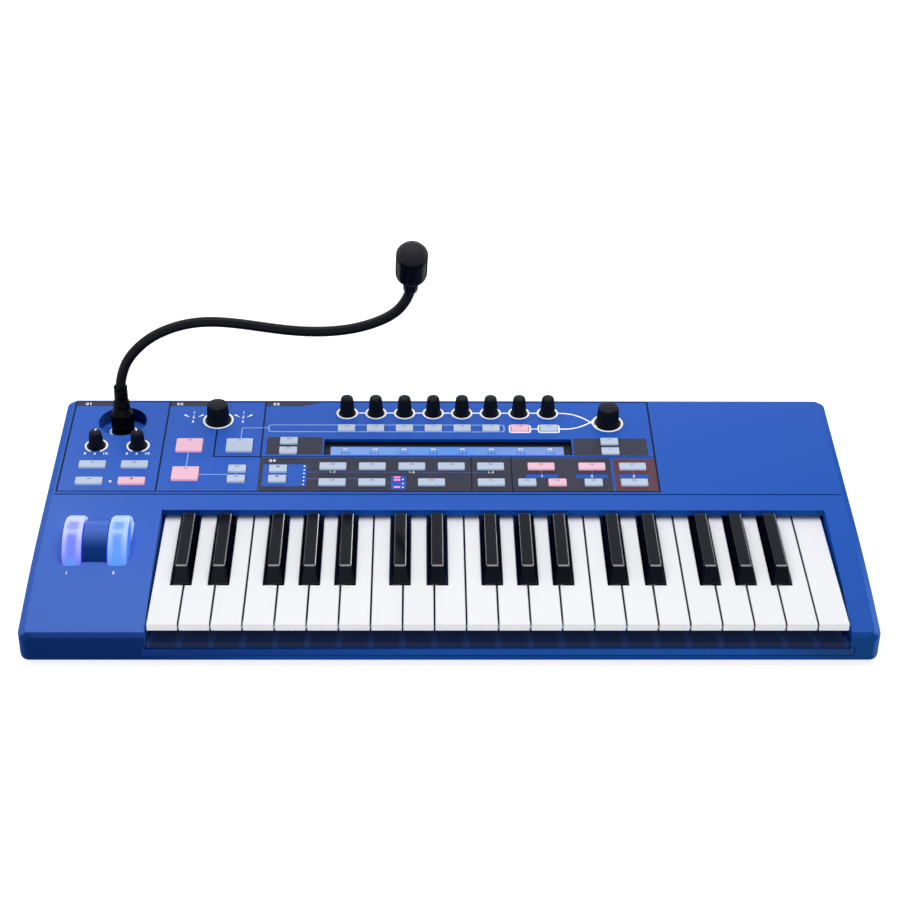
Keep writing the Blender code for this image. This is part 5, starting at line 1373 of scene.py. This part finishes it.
PLUG_PROFILE = (
    (0, 35.5), (4.5, 35.5), (4.5, 41.7), (4.8, 42.0), (5.3, 41.8), (5.65, 41.2), (5.65, 39.6), (5.3, 39.1),
    (5.3, 38.4), (5.6, 37.9), (5.6, 29.2), (6.1, 28.6), (6.5, 28.1), (6.5, 26.7), (6.7, 26.2), (6.8, 24.0),
    (6.8, 21.6), (7.5, 20.3), (8.4, 19.0), (9.1, 17.9), (9.45, 16.6), (9.5, 14.5), (9.5, 8.6),
    (9.2, 8.2), (9.2, 7.0), (9.5, 6.6), (9.5, 5.0), (9.15, 4.6), (9.15, 3.4), (9.4, 3.0),
    (9.4, 0.7), (9.0, 0.35), (7.6, 0.3), (7.6, -12.9), (0, -12.9),
)
NECK_ROUTE = (
    (-267.4, 118.1, 95.5), (-264.9, 118.5, 102), (-261.2, 119, 109.3), (-254.5, 119, 117.6),
    (-245.9, 119, 125.9), (-234, 119, 134), (-214, 118.5, 142.2), (-194.4, 118, 144.6),
    (-175, 117, 143.8), (-155.6, 116, 141.4), (-136.2, 115, 138.7), (-116.8, 114, 137.3),
    (-97.3, 113, 137.8), (-77.8, 111.5, 141), (-61.0, 110, 146.9), (-47.4, 108, 154.7),
    (-37.6, 106, 163.6),
)
NECK_END = Vector((-30.4, 102, 183.2)) * MM
HEAD_AXIS = Vector((0.03, -math.sin(math.radians(28)), math.cos(math.radians(28)))).normalized()
PLUG_AXIS = (MIC_FLOOR.to_3x3() @ Vector((0, 0, 1))).normalized()


def neck_path():
    """The neck's centre line from the plug to the head, smoothed."""
    start, end = MIC_FLOOR @ Vector((0, 0, 37 * MM)), NECK_END + HEAD_AXIS * 5 * MM
    route = [Vector(point) * MM for point in NECK_ROUTE]
    fine = curved([start, start + PLUG_AXIS * 6 * MM, *route, end - HEAD_AXIS * 11 * MM, end], 40)
    spans = [min(k, len(fine) - 1 - k, 24) for k in range(len(fine))]
    for _ in range(3):
        fine = [sum(fine[k - r: k + r + 1], Vector((0, 0, 0))) / (2 * r + 1) for k, r in enumerate(spans)]
    return fine


def neck_widths(total):
    """How far along and how wide each ring of the neck is: ribs between two domed ends."""
    cap = 4.3 * MM
    ribs = round((total - 2 * cap) / (2.0 * MM))
    domes = [math.radians(degrees) for degrees in (8, 24, 40, 56, 72)]
    domed = [(cap * (1 - math.cos(a)), 4.1 * MM * math.sin(a)) for a in domes]
    spots = list(domed)
    for rib in range(ribs):
        for share, radius in ((0.0, 3.92), (0.18, 4.2), (0.5, 4.28), (0.82, 4.2)):
            spots.append((cap + (rib + share) * (total - 2 * cap) / ribs, radius * MM))
    spots.append((total - cap, 3.92 * MM))
    return spots + [(total - along, radius) for along, radius in reversed(domed)]


def build_neck():
    """The ribbed flexible neck, in two halves."""
    fine = neck_path()
    lengths = [0.0]
    for before, after in zip(fine, fine[1:]):
        lengths.append(lengths[-1] + (after - before).length)
    across = Vector((0, 1, 0))
    rings, segment = [], 0
    for length, radius in neck_widths(lengths[-1]):
        while segment < len(lengths) - 2 and lengths[segment + 1] < length:
            segment += 1
        t = (length - lengths[segment]) / max(lengths[segment + 1] - lengths[segment], 1e-9)
        centre = fine[segment].lerp(fine[segment + 1], t)
        along = (fine[segment + 1] - fine[segment]).normalized()
        across = (across - along * across.dot(along)).normalized()
        other = along.cross(across)
        angles = [2 * math.pi * k / 20 for k in range(20)]
        rings.append([centre + (across * math.cos(a) + other * math.sin(a)) * radius for a in angles])
    middle = len(rings) // 2
    start, end = MIC_FLOOR @ Vector((0, 0, 42 * MM)), NECK_END - HEAD_AXIS * 2 * MM
    for name, part, near, far, first, last in (
        ("neck_lower", rings[: middle + 1], "mic_plug", "mic_neck", start, Vector((-0.2614, 0.119, 0.1093))),
        ("neck_upper", rings[middle:], "mic_neck", "mic_head", Vector((-0.0482, 0.108, 0.1547)), end),
    ):
        obj = new_object(name, lofted(part))
        obj.data.shade_smooth()
        obj.data.set_sharp_from_angle(angle=math.radians(60))
        obj.data.materials.append(NECK.owner)
        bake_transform(obj)
        if name == "neck_lower":
            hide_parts("gooseneck")


HEAD_PROFILE = (
    (0, 48.6), (11.0, 48.6), (11.9, 48.6), (12.35, 48.4), (12.5, 47.9), (12.5, 45.9), (12.2, 45.6),
    (12.2, 45.2), (12.5, 44.9), (12.5, 25.0), (12.4, 22.4), (11.9, 20.7), (10.9, 19.6), (9.6, 19.1),
    (7.2, 19.0), (6.6, 18.6), (6.1, 17.6), (5.9, 15.0), (5.9, 9.0), (5.6, 8.7), (5.6, 8.1),
    (5.9, 7.8), (5.9, 2.0), (5.7, 0.7), (5.2, 0.1), (4.7, 0.1), (4.5, 0.4), (4.5, 6.6), (0, 6.6),
)


def build_microphone():
    plug = turned(dense(PLUG_PROFILE, 2.0), 64, MIC_FLOOR)
    piece("mic_plug_shell", plug, MIC_BODY, "mic_plug", "mic_connector", sharp=35)
    build_neck()
    turn = Vector((0, 0, 1)).rotation_difference(HEAD_AXIS).to_matrix().to_4x4()
    place = Matrix.Translation(NECK_END) @ turn
    head = turned(dense(HEAD_PROFILE, 2.5), 64, place)
    piece("mic_head_body", head, MIC_BODY, "mic_head", "mic_head", sharp=35)
    angles = [math.radians(degrees) for degrees in range(8, 91, 6)]
    dome = [(0, 55.9)] + [(11.7 * math.sin(a), 48.3 + 7.6 * math.cos(a)) for a in angles]
    grille = turned(dome + [(11.7, 48.3), (11.7, 47.4), (0, 47.4)], 64, place)
    piece("mic_grille", grille, GRILLE, "mic_head", sharp=50)
    piece("mic_ring_print", hoop(11.4, 10.1, -0.05, 0.06, 72, MIC_FLOOR), WHITE_INK, "case")


bpy.context.scene.view_settings.view_transform = "Standard"
make_camera()
make_floor()
make_world()
area_light("overhead", (0.0, 0.25, 1.35), (0, 0, 0), (1.5, 1.1), 15.3)
area_light("front_fill", (-0.5, -1.3, 1.1), (0, 0, 0), (1.0, 0.8), 3.0)
area_light("rear_strip", (0, 1.25, 0.27), (0, 0, 0.05), (3.2, 0.06), 6.0)
build_case()
build_base()
paint_node("keybed_frame", BED)
build_keys()
build_wheel("pitch_wheel", PITCH_U, PITCH_GLOW)
build_wheel("mod_wheel", MOD_U, MOD_GLOW)
build_knobs()
build_buttons()
print_areas()
print_dark_lines()
print_wells()
print_white()
paint_groove_shadow()
print_wheel_marks()
print_pale()
print_lamps()
print_button_marks()
build_display()
build_sockets()
build_microphone()
